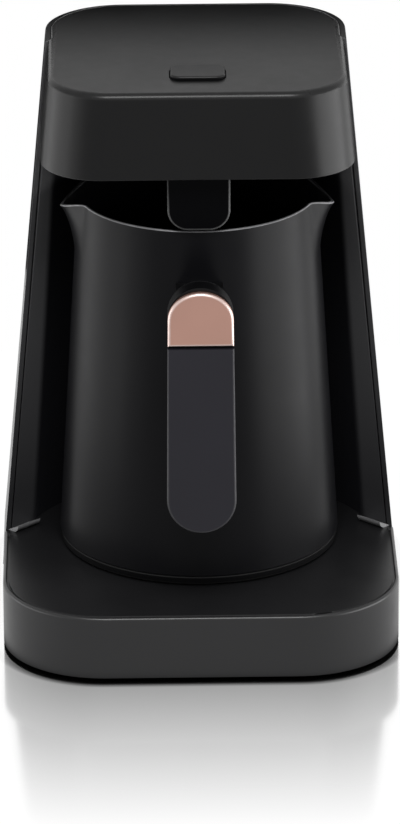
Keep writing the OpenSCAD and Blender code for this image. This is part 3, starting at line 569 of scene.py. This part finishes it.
# A plastic's edge setting, its last argument, says how much paler the middle of its rounded edges is
# painted: a painted highlight.
finishes = {
    "base_plastic": plastic("base_plastic", (0.0065, 0.0065, 0.0071), 0.38, specular=0.38, edge_highlight_lift=0.005),
    "cover_plastic": plastic("cover_plastic", (0.009, 0.009, 0.009), 0.5, 0.8, 0.03),
    "foot_rubber": rubber("foot_rubber", (0.012, 0.012, 0.012)),
    "screw_steel": metal("screw_steel", (0.55, 0.55, 0.56), 0.3),
    "plate_coating": metal("plate_coating", (0.03, 0.03, 0.032), 0.42, ALONG, 0.8, 0.02, 0.3),
    "silicone": rubber("silicone", (0.014, 0.014, 0.014)),
    "tube_steel": metal("tube_steel", (0.3, 0.27, 0.24), 0.4),
    "shield_steel": metal("shield_steel", (0.5, 0.5, 0.5), 0.3, ACROSS),
    "thermostat_ceramic": plastic("thermostat_ceramic", (0.6, 0.56, 0.46), 0.55, 0.7, 0.02),
    "fuse_sleeve": plastic("fuse_sleeve", (0.7, 0.65, 0.45), 0.6, 0.4, 0.03),
    "sensor_cap": metal("sensor_cap", (0.5, 0.5, 0.52), 0.3),
    # Shell and liner: their wing faces are painted lighter, as painted light.
    "shell_plastic": painted_light_two_tone("shell_plastic", 83.3, 82.9, WING_SPLAY, (0.004, 0.004, 0.0045), 0.3, 0.18),
    "liner_plastic": painted_light_two_tone("liner_plastic", 66.1, 68.5, 0.0, (0.01, 0.01, 0.012), 0.44, 0.2),
    "circuit_board": plastic("circuit_board", (0.012, 0.09, 0.03), 0.35, 1.4, 0.02),
    "relay_plastic": plastic("relay_plastic", (0.02, 0.09, 0.3), 0.4),
    "transformer_tape": plastic("transformer_tape", (0.6, 0.42, 0.05), 0.35, 1.0, 0.02),
    "terminal_plastic": plastic("terminal_plastic", (0.03, 0.2, 0.08), 0.4),
    "capacitor_coating": plastic("capacitor_coating", (0.35, 0.04, 0.03), 0.25, 1.2, 0.01),
    "wire_sleeve": rubber("wire_sleeve", (0.25, 0.02, 0.012)),
    "bush_rubber": rubber("bush_rubber", (0.01, 0.01, 0.01)),
    "head_plastic": plastic("head_plastic", (0.002, 0.002, 0.0022), 0.33, specular=0.175, edge_highlight_lift=0.012),
    "switch_plastic": plastic("switch_plastic", (0.03, 0.03, 0.03), 0.4),
    "buzzer_plastic": plastic("buzzer_plastic", (0.01, 0.01, 0.01), 0.45),
    "spring_steel": metal("spring_steel", (0.5, 0.5, 0.5), 0.25),
    "button_plastic": plastic("button_plastic", (0.002, 0.002, 0.0022), 0.34, specular=0.13),
    "pod_plastic": plastic("pod_plastic", (0.001, 0.001, 0.0014), 0.22, specular=0.03, edge_highlight_lift=0.11),
    "infrared_window": plastic("infrared_window", (0.012, 0.002, 0.003), 0.1, 2.0, 0.003),
    "sensor_can": metal("sensor_can", (0.62, 0.48, 0.2), 0.25),
    "jug_coating": jug_coating(),
    "jug_foot_coating": plastic("jug_foot_coating", (0.001, 0.001, 0.0012), 0.6, 0.7, 0.01, 0.05),
    "bracket_steel": plastic("bracket_steel", (0.003, 0.003, 0.0033), 0.45),
    "handle_plastic": plastic("handle_plastic", (0.0015, 0.0015, 0.0018), 0.35, edge_highlight_lift=0.12),
    "grip_plastic": plastic("grip_plastic", (0.0095, 0.009, 0.013), 0.46, 0.4, 0.014, 0.24, 0.05),
    "copper_finish": metal("copper_finish", (0.41, 0.235, 0.188), 0.36, ACROSS, 0.5, 0.004, 0.75),
}
slot_of = {part["node"]: part["material_slot"] for part in frame["record"]["subparts"]}
for node_name, node_object in nodes.items():
    node_object.data.materials.clear()
    node_object.data.materials.append(finishes[slot_of[node_name]])
print("finishes", len(finishes), "for", len(slot_of), "nodes")


# %% [markdown]
# ## From a worked shape to a piece
# Every piece is worked in millimetres and ends the same way: it is scaled to metres, shaded smooth
# except over its real corners, and takes the place and the finish of its CAD node. Weighted normals
# keep the big flat faces flat beside their rounded edges.

# %% Turn a shape into a piece
SHARP_ANGLE = 32


def show(bm, node, piece_name="", stands_in=True):
    bmesh.ops.scale(bm, vec=(MM, MM, MM), verts=bm.verts)
    open_edges = sum(1 for edge in bm.edges if len(edge.link_faces) != 2)
    name = piece_name or node + "_piece"
    mesh = bpy.data.meshes.new(name)
    bm.to_mesh(mesh)
    bm.free()
    mesh.polygons.foreach_set("use_smooth", [True] * len(mesh.polygons))
    mesh.set_sharp_from_angle(angle=math.radians(SHARP_ANGLE))
    piece = bpy.data.objects.new(name, mesh)
    bpy.context.scene.collection.objects.link(piece)
    even = piece.modifiers.new("even_shading", "WEIGHTED_NORMAL")
    even.keep_sharp = True
    mesh.materials.append(finishes[slot_of[node]])
    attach(piece, nodes[node]["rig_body"])
    if stands_in:
        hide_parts(node)
    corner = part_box(node)[1]
    reach = [round(max(v.co[i] for v in mesh.vertices) / MM - corner[i] / MM, 2) for i in range(3)]
    print(name, "faces", len(mesh.polygons), "open edges", open_edges, "past the node", reach)
    return piece


# %% Bend, pull and round
CORNER_STEPS = 16


def round_edges(bm, edges, radius, steps=3):
    """Rounds edges, and marks the middle of each rounding for a painted edge highlight."""
    rounding = {"offset": radius, "offset_type": "OFFSET", "segments": steps}
    made = bmesh.ops.bevel(bm, geom=edges, affect="EDGES", profile=0.5, material=-1, **rounding)
    highlight_mark = bm.verts.layers.float.get(EDGE_HIGHLIGHT_NAME) or bm.verts.layers.float.new(EDGE_HIGHLIGHT_NAME)
    faces = set(made["faces"])
    middle = [v for f in faces for v in f.verts if all(other in faces for other in v.link_faces)]
    for vert in middle:
        vert[highlight_mark] = 1
    return middle, highlight_mark


def rounded_face(bm, half, front, back, front_r, rear_r, z):
    """A flat rectangle whose front and rear corners have their own radius."""
    corners = [(-half, front), (half, front), (half, back), (-half, back)]
    verts = [bm.verts.new((x, y, z)) for x, y in corners]
    bm.faces.new(verts)
    for pair, radius in ((verts[:2], front_r), (verts[2:], rear_r)):
        rounding = {"offset": radius, "offset_type": "OFFSET", "segments": CORNER_STEPS}
        bmesh.ops.bevel(bm, geom=pair, affect="VERTICES", profile=0.5, material=-1, **rounding)
    flat = [f for f in bm.faces if max(abs(v.co.z - z) for v in f.verts) < 0.01]
    return min(flat, key=lambda f: f.calc_area())


def new_verts(geom):
    return [g for g in geom if isinstance(g, bmesh.types.BMVert)]


def spin_point(bm, start, **turn):
    """Spins a point into an arc and gives the arc's last point."""
    last = bmesh.ops.spin(bm, geom=[start], use_merge=False, **turn)["geom_last"]
    return new_verts(last)[0]


def pull_faces(bm, faces, way):
    """Pulls flat faces out into a solid."""
    grown = bmesh.ops.extrude_face_region(bm, geom=faces)["geom"]
    bmesh.ops.translate(bm, verts=new_verts(grown), vec=way)
    bmesh.ops.recalc_face_normals(bm, faces=bm.faces)


# %% [markdown]
# ## Parts that keep their CAD shape
# The base, the shell, the liner and the pod are moulded boxes with holes, bosses and steps that the
# CAD already has right. What it lacks is what every moulding has: rounded edges. A copy of the mesh
# is merged, its flat triangles are joined, and only the edges that a hand would meet are rounded.

# %% Rounded copies
MERGE = 0.003
FLAT_ANGLE = 0.5


def merged_copy(node):
    bm = bmesh.new()
    bm.from_mesh(nodes[node].data)
    bmesh.ops.scale(bm, vec=(1 / MM, 1 / MM, 1 / MM), verts=bm.verts)
    bmesh.ops.remove_doubles(bm, verts=bm.verts, dist=MERGE)
    flat = math.radians(FLAT_ANGLE)
    bmesh.ops.dissolve_limit(bm, angle_limit=flat, verts=bm.verts, edges=bm.edges)
    return bm


def corner_edges(bm, wanted, angle=40):
    """Edges between two faces that meet at a real corner, whose middle is wanted."""
    found = []
    for edge in bm.edges:
        if len(edge.link_faces) != 2 or edge.calc_face_angle() < math.radians(angle):
            continue
        if wanted((edge.verts[0].co + edge.verts[1].co) / 2):
            found.append(edge)
    return found


# %% The body's outlines
BASE_HALF = 77
BASE_REACH = 85
BASE_R = 40
DECK_Z = 26.4
SKIRT_Z = 12
SKIRT_HALF = 77.8
SKIRT_BACK = 85
TOP_Z = 228.9
TOP_HALF = 58
TOP_BACK = 54.5
TOP_R = 30
SIDE_SLOPE = (SKIRT_HALF - TOP_HALF) / (TOP_Z - SKIRT_Z)
BACK_SLOPE = (SKIRT_BACK - TOP_BACK) / (TOP_Z - SKIRT_Z)
WING_FOOT = 65.29
WING_Y = 15


def half_at(z):
    return SKIRT_HALF - SIDE_SLOPE * (z - SKIRT_Z)


def back_at(z):
    return SKIRT_BACK - BACK_SLOPE * (z - SKIRT_Z)


def ahead_of_wing(point):
    """How far a point stands in front of the wing face on its own side."""
    edge = WING_FOOT - WING_LEAN * (point.z - DECK_Z)
    return edge + (WING_Y - point.y) * WING_SPLAY - abs(point.x)


def inside_outline(point, half, end, radius, facing):
    """How far a point lies inside an outline with round corners at its front (-1) or back (1)."""
    across = max(abs(point.x) - (half - radius), 0)
    along = max(point.y * facing - (end - radius), 0)
    return radius - math.hypot(across, along)


def inside_base(point):
    return inside_outline(point, BASE_HALF, BASE_REACH, BASE_R, -1)


# %% Base
RIM_SOFT = 1.1
PLATE_HOLE_FRONT = -44
GROOVE_IN = 0.3
GROOVE_WIDTH = 0.9
GROOVE_DEPTH = 0.8
GROOVE_NEAR = 0.8
GROOVE_FAR = 3


def on_deck_rim(point):
    """On the base's upper rim ahead of the wings, or on the front of the hot plate's hole."""
    level = abs(point.z - DECK_Z) < 0.05
    wanted = inside_base(point) < 1 or point.y < PLATE_HOLE_FRONT
    return level and ahead_of_wing(point) > 0.6 and wanted


def deck_faces(bm):
    return [f for f in bm.faces if f.normal.z > 0.99 and abs(f.calc_center_median().z - DECK_Z) < 0.02]


def in_groove(vert):
    """Beside the base's rim, and ahead of the wings."""
    return GROOVE_NEAR < inside_base(vert.co) < GROOVE_FAR and vert.co.y < 0.5


def cut_groove(bm):
    """Sinks a fine groove into the deck just inside its rounded rim, as far back as the wings."""
    whole = deck_faces(bm)
    edges = list({e for f in whole for e in f.edges})
    verts = list({v for f in whole for v in f.verts})
    bmesh.ops.bisect_plane(bm, geom=whole + edges + verts, plane_co=(0, 0, 0), plane_no=(0, 1, 0))
    flat = deck_faces(bm)
    even = {"use_even_offset": True, "use_boundary": True}
    bmesh.ops.inset_region(bm, faces=flat, thickness=GROOVE_IN, **even)
    ring = bmesh.ops.inset_region(bm, faces=flat, thickness=GROOVE_WIDTH, **even)["faces"]
    groove = [f for f in ring if all(in_groove(v) for v in f.verts)]
    bmesh.ops.inset_region(bm, faces=groove, thickness=0.03, depth=-GROOVE_DEPTH, **even)
    return len(groove)


base = merged_copy("base_housing")
rim = corner_edges(base, on_deck_rim)
round_edges(base, rim, RIM_SOFT, 4)
print("deck rim edges rounded:", len(rim), "groove faces:", cut_groove(base))
show(base, "base_housing")


# %% Shell
SHELL_SOFT = 0.45


def on_shell_edge(point):
    """On the outer side of the shell's top rim, or on its front edges beside the wings."""
    outer = inside_outline(point, TOP_HALF, TOP_BACK, TOP_R, 1) < 1
    front = abs(ahead_of_wing(point)) < 0.1 and point.z > DECK_Z + 0.6
    return (point.z > TOP_Z - 1 and outer) or front


shell = merged_copy("outer_shell")
round_edges(shell, corner_edges(shell, on_shell_edge), SHELL_SOFT, 2)
show(shell, "outer_shell")


# %% Liner
LINER_SOFT = 1.0
LINER_CORNER = 15
LINER_SIDE = 67
LINER_LOW = 30
LINER_HIGH = 190


def on_wing_edge(point):
    """On the inner edge of a wing face, from the deck's height to the head's."""
    inner = abs(ahead_of_wing(point)) < 0.2 and abs(point.x) < LINER_SIDE
    return inner and LINER_LOW < point.z < LINER_HIGH


liner = merged_copy("column_liner")
round_edges(liner, corner_edges(liner, on_wing_edge, LINER_CORNER), LINER_SOFT, 3)
show(liner, "column_liner")


# %% [markdown]
# ## Fillets at the wings' feet
# Where each wing face meets the deck, the moulding is softened by a small hollow fillet. Its colour
# is a pale grey, a painted highlight that shows as one bright stroke. Its section is a corner with a
# quarter arc cut out of it: a single point is spun for the arc, and the filled section is pulled
# along the foot of the wing.

# %% Wing foot fillets
FILLET_R = 3
FILLET_STEPS = 8
FILLET_PAINTED_HIGHLIGHT = (0.24, 0.24, 0.245)
FOOT_START = Vector((67.0, 13.4, DECK_Z))
FOOT_END = Vector((75.63, 5.15, DECK_Z))


def make_fillet(side):
    bm = bmesh.new()
    out = Vector((-1, -WING_SPLAY, 0)).normalized()
    toe = bm.verts.new(FOOT_START + out * FILLET_R)
    heel = bm.verts.new(FOOT_START)
    centre = FOOT_START + out * FILLET_R + Vector((0, 0, FILLET_R))
    axis = out.cross(Vector((0, 0, 1)))
    top = spin_point(bm, toe, axis=axis, cent=centre, angle=math.pi / 2, steps=FILLET_STEPS)
    bm.edges.new((top, heel))
    bm.edges.new((heel, toe))
    section = bmesh.ops.contextual_create(bm, geom=bm.edges[:])["faces"]
    pull_faces(bm, section, FOOT_END - FOOT_START)
    if side < 0:
        bmesh.ops.scale(bm, vec=(-1, 1, 1), verts=bm.verts)
        bmesh.ops.recalc_face_normals(bm, faces=bm.faces)
    print("fillet top at", [round(c, 2) for c in max((v.co for v in bm.verts), key=lambda c: c.z)])
    return bm


for side, name in ((-1, "left"), (1, "right")):
    fillet = show(make_fillet(side), "outer_shell", "wing_foot_fillet_" + name, stands_in=False)
    # The fillet's pale grey is a painted highlight.
    fillet.data.materials[0] = plastic("painted_highlight_fillet_" + name, FILLET_PAINTED_HIGHLIGHT, 0.28, specular=0.5)


# %% Pod
POD_FRONT = -50
POD_BACK = -10
POD_HALF = 12
POD_TOP = 196
POD_SOFT = 0.9


def on_pod_rim(point):
    """On the round outline of the pod's front or back face, below the head."""
    at_end = point.y < POD_FRONT + 0.1 or point.y > POD_BACK - 0.1
    return point.z < POD_TOP and at_end and abs(point.x) <= POD_HALF + 0.01


pod = merged_copy("sensor_pod")
round_edges(pod, corner_edges(pod, on_pod_rim), POD_SOFT, 4)
show(pod, "sensor_pod")


# %% Small parts that only need a smooth copy
UNDER_PARTS = ("bottom_cover", "rubber_feet", "cord_inlet_bush", "heating_plate", "plate_seal")
HEAD_PARTS = ("head_bottom_cover", "sensor_window")
for small in UNDER_PARTS + HEAD_PARTS:
    show(merged_copy(small), small)


# %% [markdown]
# ## Head
# The head is a box whose sides lean in as it rises, with large round front corners and a soft upper
# edge. It is made as a maker would fold it: an outline, walls pulled up from it and leant in, a soft
# rim, then the opening for the button. Behind the wings it steps in, to slide inside the shell.

# %% Head and button outlines
HEAD_Z = 194.4
ROOF_Z = 226.5
HEAD_FRONT = -58
HEAD_INSET = 1
HEAD_BACK_INSET = 2.3
HEAD_FRONT_R = 24
HEAD_REAR_R = 27.7
HEAD_WALL = 2.2
HEAD_SOFT = 2.5
HEAD_FOOT_SOFT = 0.6
HEAD_STEP = 1.3
WING_PLAY = 0.25
STEP_RUN = 0.2
BACK_RIM_SHARE = 0.4
BUTTON_Y = -34.5
BUTTON_HALF = 10.5
BUTTON_DEPTH = 7.5
BUTTON_R = 4
BUTTON_GAP = 0.35


def button_outline(bm, grow, z):
    """The button's outline, grown by a margin all round."""
    front = BUTTON_Y - BUTTON_DEPTH - grow
    back = BUTTON_Y + BUTTON_DEPTH + grow
    return rounded_face(bm, BUTTON_HALF + grow, front, back, BUTTON_R + grow, BUTTON_R + grow, z)


def lean_in(bm, verts, rise):
    for side in (-1, 1):
        flank = [v for v in verts if v.co.x * side > 0]
        bmesh.ops.translate(bm, verts=flank, vec=(-side * SIDE_SLOPE * rise, 0, 0))
    rear = [v for v in verts if v.co.y > 10]
    bmesh.ops.translate(bm, verts=rear, vec=(0, -BACK_SLOPE * rise, 0))


def pull_edges(bm, edges, rise, lean=True):
    """Pulls a wall up or down from a loop of edges and gives the loop at its end."""
    verts = new_verts(bmesh.ops.extrude_edge_only(bm, edges=edges)["geom"])
    bmesh.ops.translate(bm, verts=verts, vec=(0, 0, rise))
    if lean:
        lean_in(bm, verts, rise)
    ends = set(verts)
    return [e for e in bm.edges if e.verts[0] in ends and e.verts[1] in ends]


def open_face(bm, face):
    edges = list(face.edges)
    bmesh.ops.delete(bm, geom=[face], context="FACES_ONLY")
    return edges


def largest(faces):
    return max(faces, key=lambda f: f.calc_area())


# %% Head housing
def cut_walls(bm, side, place, normal):
    """Cuts the head's walls on one side along a slanting plane."""
    walls = [f for f in bm.faces if abs(f.normal.z) < 0.98 and f.calc_center_median().x * side > 20]
    edges = list({e for f in walls for e in f.edges})
    verts = list({v for f in walls for v in f.verts})
    bmesh.ops.bisect_plane(bm, geom=verts + edges + walls, plane_co=place, plane_no=normal)


def flatten_rim(verts):
    """Flattens the soft rim, but leaves the roof's underside."""
    for vert in verts:
        if vert.co.z > ROOF_Z + 0.01 or TOP_Z - HEAD_SOFT - 0.01 < vert.co.z < ROOF_Z - 0.01:
            vert.co.z = TOP_Z - (TOP_Z - vert.co.z) * BACK_RIM_SHARE


def step_behind_wings(bm):
    for side in (-1, 1):
        normal = Vector((side, WING_SPLAY, WING_LEAN))
        start = Vector((side * WING_FOOT, WING_Y - WING_PLAY, DECK_Z))
        for run in (0, STEP_RUN):
            cut_walls(bm, side, start + Vector((0, run, 0)), normal)
        edge = start + Vector((0, STEP_RUN - 0.01, 0))
        behind = [v for v in bm.verts if side * v.co.x > 0 and (v.co - edge).dot(normal) > 0]
        flatten_rim(behind)
        bmesh.ops.translate(bm, verts=behind, vec=(-side * HEAD_STEP, 0, 0))


def make_head():
    bm = bmesh.new()
    half = half_at(HEAD_Z) - HEAD_INSET
    back = back_at(HEAD_Z) - HEAD_BACK_INSET
    foot = rounded_face(bm, half, HEAD_FRONT, back, HEAD_FRONT_R, HEAD_REAR_R, HEAD_Z)
    crown = pull_edges(bm, list(foot.edges), TOP_Z - HEAD_Z)
    cap = bmesh.ops.contextual_create(bm, geom=crown)["faces"][0]
    round_edges(bm, list(cap.edges), HEAD_SOFT, 6)
    outer = open_face(bm, largest(f for f in bm.faces if f.calc_center_median().z > TOP_Z - 0.01))
    inner = open_face(bm, button_outline(bm, BUTTON_GAP, TOP_Z))
    bmesh.ops.triangle_fill(bm, edges=outer + inner, use_beauty=True)
    throat = pull_edges(bm, inner, ROOF_Z - TOP_Z, False)
    foot = min(bm.faces, key=lambda f: f.calc_center_median().z)
    wall = {"thickness": HEAD_WALL, "use_even_offset": True, "use_boundary": True}
    bmesh.ops.inset_region(bm, faces=[foot], **wall)
    bm.normal_update()
    low = [e for e in bm.edges if max(v.co.z for v in e.verts) < HEAD_Z + 0.01]
    outside = [e for e in low if min(abs(f.normal.z) for f in e.link_faces) < 0.5]
    round_edges(bm, outside, HEAD_FOOT_SOFT, 3)
    foot = largest(f for f in bm.faces if f.calc_center_median().z < HEAD_Z + 0.01)
    ceiling = pull_edges(bm, open_face(bm, foot), ROOF_Z - HEAD_Z)
    bmesh.ops.triangle_fill(bm, edges=ceiling + throat, use_beauty=True)
    bmesh.ops.recalc_face_normals(bm, faces=bm.faces)
    step_behind_wings(bm)
    bmesh.ops.remove_doubles(bm, verts=bm.verts, dist=0.001)
    bmesh.ops.recalc_face_normals(bm, faces=bm.faces)
    return bm


show(make_head(), "head_housing")


# %% [markdown]
# ## Button
# One raised key with round corners. Under the roof it has a wider flange that stops it from coming
# out, and a stem that presses the switch.

# %% Start button
FLANGE_Z = 225.1
FLANGE_T = 1.2
FLANGE_GROW = 2.2
KEY_Z = 226.31
KEY_TOP = 230.4
KEY_SOFT = 0.8
STEM_MIDDLE = 224.3
STEM = {"segments": 48, "radius1": 1.9, "radius2": 1.9, "depth": 1.4}


def make_button():
    bm = bmesh.new()
    flange = button_outline(bm, FLANGE_GROW, FLANGE_Z)
    bmesh.ops.contextual_create(bm, geom=pull_edges(bm, list(flange.edges), FLANGE_T, False))
    key = button_outline(bm, 0, KEY_Z)
    top = pull_edges(bm, list(key.edges), KEY_TOP - KEY_Z, False)
    face = bmesh.ops.contextual_create(bm, geom=top)["faces"][0]
    round_edges(bm, list(face.edges), KEY_SOFT, 4)
    place = Matrix.Translation((0, BUTTON_Y, STEM_MIDDLE))
    bmesh.ops.create_cone(bm, cap_ends=True, matrix=place, **STEM)
    bmesh.ops.recalc_face_normals(bm, faces=bm.faces)
    return bm


show(make_button(), "start_button")


# %% [markdown]
# ## Spring
# The coil between the board and the button's flange shortens as the button goes down. Here it is a
# merged copy of its CAD mesh with a mesh of its own, and keeps its shape.

spring = show(merged_copy("button_spring"), "button_spring")
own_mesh(spring)


# %% [markdown]
# ## Jug
# The jug is spun from one sheet of metal, so it is made the same way here: half a section is spun
# round, the two beaks are pressed out of the wall, and only then does the wall get its thickness.

# %% Jug body
JUG_Z = 30.4
RIM_Z = 169.9
FOOT_R = 54.8
RIM_R = 46.4
JUG_CHAMFER = 0.5
JUG_WALL = 1.4
BEAK_REACH = 7
BEAK_DROP = 5.4
BEAK_HALF = 16
BEAK_FOOT = RIM_Z - 23
BEAK_STRAIGHT = 0.6
BEAK_SIDE = 30
LIP_ZONE = 7
LIP_LEAST_R = 42
LIP_SOFT = 0.64
FAR_LIP_HIGHLIGHT = 0.2
SPIN_STEPS = 192


def press_beaks(bm):
    """Presses both beaks out. Each is partly a straight-sided V and partly a smooth swelling."""
    for vert in bm.verts:
        rise = (vert.co.z - BEAK_FOOT) / (RIM_Z - BEAK_FOOT)
        near = 1 - abs(vert.co.y) / BEAK_HALF
        if rise > 0 and near > 0 and abs(vert.co.x) > BEAK_SIDE:
            smooth = near * near * (3 - 2 * near)
            pull = BEAK_STRAIGHT * near + (1 - BEAK_STRAIGHT) * smooth
            vert.co.x += math.copysign(BEAK_REACH * pull * rise**1.3, vert.co.x)
            vert.co.z -= BEAK_DROP * pull * rise**3


def spaced(low, high, steps):
    """Evenly spaced values from low to high."""
    return [low + (high - low) * i / steps for i in range(steps + 1)]


def on_lip(point):
    return point.z > RIM_Z - LIP_ZONE and math.hypot(point.x, point.y) > LIP_LEAST_R


def make_jug():
    bm = bmesh.new()
    slope = (FOOT_R - RIM_R) / (RIM_Z - JUG_Z)
    heights = spaced(JUG_Z + JUG_CHAMFER, BEAK_FOOT, 10) + spaced(BEAK_FOOT, RIM_Z, 20)[1:]
    wall = [(FOOT_R - slope * (z - JUG_Z), z) for z in heights]
    section = [(0, JUG_Z), (FOOT_R - JUG_CHAMFER, JUG_Z)] + wall
    verts = [bm.verts.new((x, 0, z)) for x, z in section]
    edges = [bm.edges.new(pair) for pair in zip(verts, verts[1:])]
    turn = {"axis": (0, 0, 1), "cent": (0, 0, 0), "angle": math.tau, "steps": SPIN_STEPS}
    bmesh.ops.spin(bm, geom=verts + edges, use_merge=True, **turn)
    bmesh.ops.remove_doubles(bm, verts=bm.verts, dist=0.001)
    press_beaks(bm)
    bmesh.ops.recalc_face_normals(bm, faces=bm.faces)
    out = max(bm.faces, key=lambda f: f.calc_center_median().x)
    if out.normal.x < 0:
        bmesh.ops.reverse_faces(bm, faces=bm.faces)
    bmesh.ops.solidify(bm, geom=bm.faces[:], thickness=JUG_WALL)
    # The lip's rounding carries a painted highlight, full on its near half and faint on its far half.
    lip_highlight, highlight_mark = round_edges(bm, corner_edges(bm, on_lip, 50), LIP_SOFT, 4)
    for vert in lip_highlight:
        vert[highlight_mark] = 1 if vert.co.y < 1 else FAR_LIP_HIGHLIGHT
    return bm


show(make_jug(), "jug_body")


# %% Jug base
JUG_BASE_MIDDLE = 28.8
JUG_BASE = {"segments": SPIN_STEPS, "radius1": 54.5, "radius2": 54.5, "depth": 3}
JUG_BASE_SOFT = 0.6


def make_jug_base():
    bm = bmesh.new()
    place = Matrix.Translation((0, 0, JUG_BASE_MIDDLE))
    bmesh.ops.create_cone(bm, cap_ends=True, matrix=place, **JUG_BASE)
    round_edges(bm, corner_edges(bm, lambda p: True, 60), JUG_BASE_SOFT, 3)
    return bm


show(make_jug_base(), "jug_base")


# %% [markdown]
# ## Handle
# The handle is a flat bar with round ends: a black core behind, and in front a thin panel that is
# split into a copper cap and a grey grip. One outline gives both halves of the panel, so that their
# sides run on.

# %% Handle panel
HANDLE_TOP_R = 12.45
HANDLE_FOOT_R = 13.2
HANDLE_LOW = 60.9
HANDLE_HIGH = 159.9
HANDLE_FRONT = -84
PANEL_BACK = -81.6
END_STEPS = 32
SEAM_Z = 136.5
SEAM = 0.5
CAP_SHOULDER = 147
CAP_DROP = 1.4
CAP_SOFT = 1.2
GRIP_SOFT = 0.9


def panel():
    """A bar with round ends from the two arcs of its outline, pulled back to its thickness."""
    bm = bmesh.new()
    arcs = []
    ends = ((HANDLE_TOP_R, HANDLE_HIGH - HANDLE_TOP_R, 1), (HANDLE_FOOT_R, HANDLE_LOW + HANDLE_FOOT_R, -1))
    for radius, middle, up in ends:
        start = bm.verts.new((up * radius, HANDLE_FRONT, middle))
        turn = {"axis": (0, -1, 0), "cent": (0, HANDLE_FRONT, middle), "angle": math.pi}
        arcs.append((start, spin_point(bm, start, steps=END_STEPS, **turn)))
    bm.edges.new((arcs[0][1], arcs[1][0]))
    bm.edges.new((arcs[1][1], arcs[0][0]))
    bmesh.ops.contextual_create(bm, geom=bm.edges[:])
    pull_faces(bm, bm.faces[:], (0, PANEL_BACK - HANDLE_FRONT, 0))
    return bm


def cut_bar(bm, z, keep_above):
    plane = {"plane_co": (0, 0, z), "plane_no": (0, 0, 1)}
    everything = bm.verts[:] + bm.edges[:] + bm.faces[:]
    bmesh.ops.bisect_plane(bm, geom=everything, clear_inner=keep_above, clear_outer=not keep_above, **plane)
    bmesh.ops.holes_fill(bm, edges=[e for e in bm.edges if len(e.link_faces) == 1])
    bmesh.ops.recalc_face_normals(bm, faces=bm.faces)


def on_panel_front(point):
    return point.y < HANDLE_FRONT + 0.1


def below_seam(point):
    """On the panel's front, but not along the seam, which stays crisp."""
    return on_panel_front(point) and point.z < SEAM_Z - 2


cap = panel()
cut_bar(cap, SEAM_Z + SEAM, True)
for vert in cap.verts:
    vert.co.z -= CAP_DROP * max(0, (vert.co.z - CAP_SHOULDER) / (HANDLE_HIGH - CAP_SHOULDER))
round_edges(cap, corner_edges(cap, on_panel_front), CAP_SOFT, 4)
show(cap, "handle_cap")

grip = panel()
cut_bar(grip, SEAM_Z - SEAM, False)
round_edges(grip, corner_edges(grip, below_seam), GRIP_SOFT, 4)
show(grip, "handle_grip")


# %% Handle core and bracket
CORE_BACK = -73
CORE_SOFT = 1.2
NECK_MIDDLE = 146.4
NECK_HALF = 7.5
NECK_DROP = 4.8
NECK_SIDE = 9.1
NECK_LOW = 137
NECK_HIGH = 156


def lower_neck(bm):
    """Brings the neck's top down behind the handle, so that it hides from the front."""
    for vert in bm.verts:
        rise = (vert.co.z - NECK_MIDDLE) / NECK_HALF
        if vert.co.y > CORE_BACK + 0.5 and rise > 0:
            vert.co.z -= NECK_DROP * rise
    return bm


def on_core_back(point):
    """On the core's back edges, away from where the neck joins it."""
    at_neck = abs(point.x) <= NECK_SIDE and NECK_LOW <= point.z <= NECK_HIGH
    return abs(point.y - CORE_BACK) < 0.1 and not at_neck


core = lower_neck(merged_copy("handle_core"))
round_edges(core, corner_edges(core, on_core_back), CORE_SOFT, 4)
show(core, "handle_core")
show(lower_neck(merged_copy("handle_bracket")), "handle_bracket")
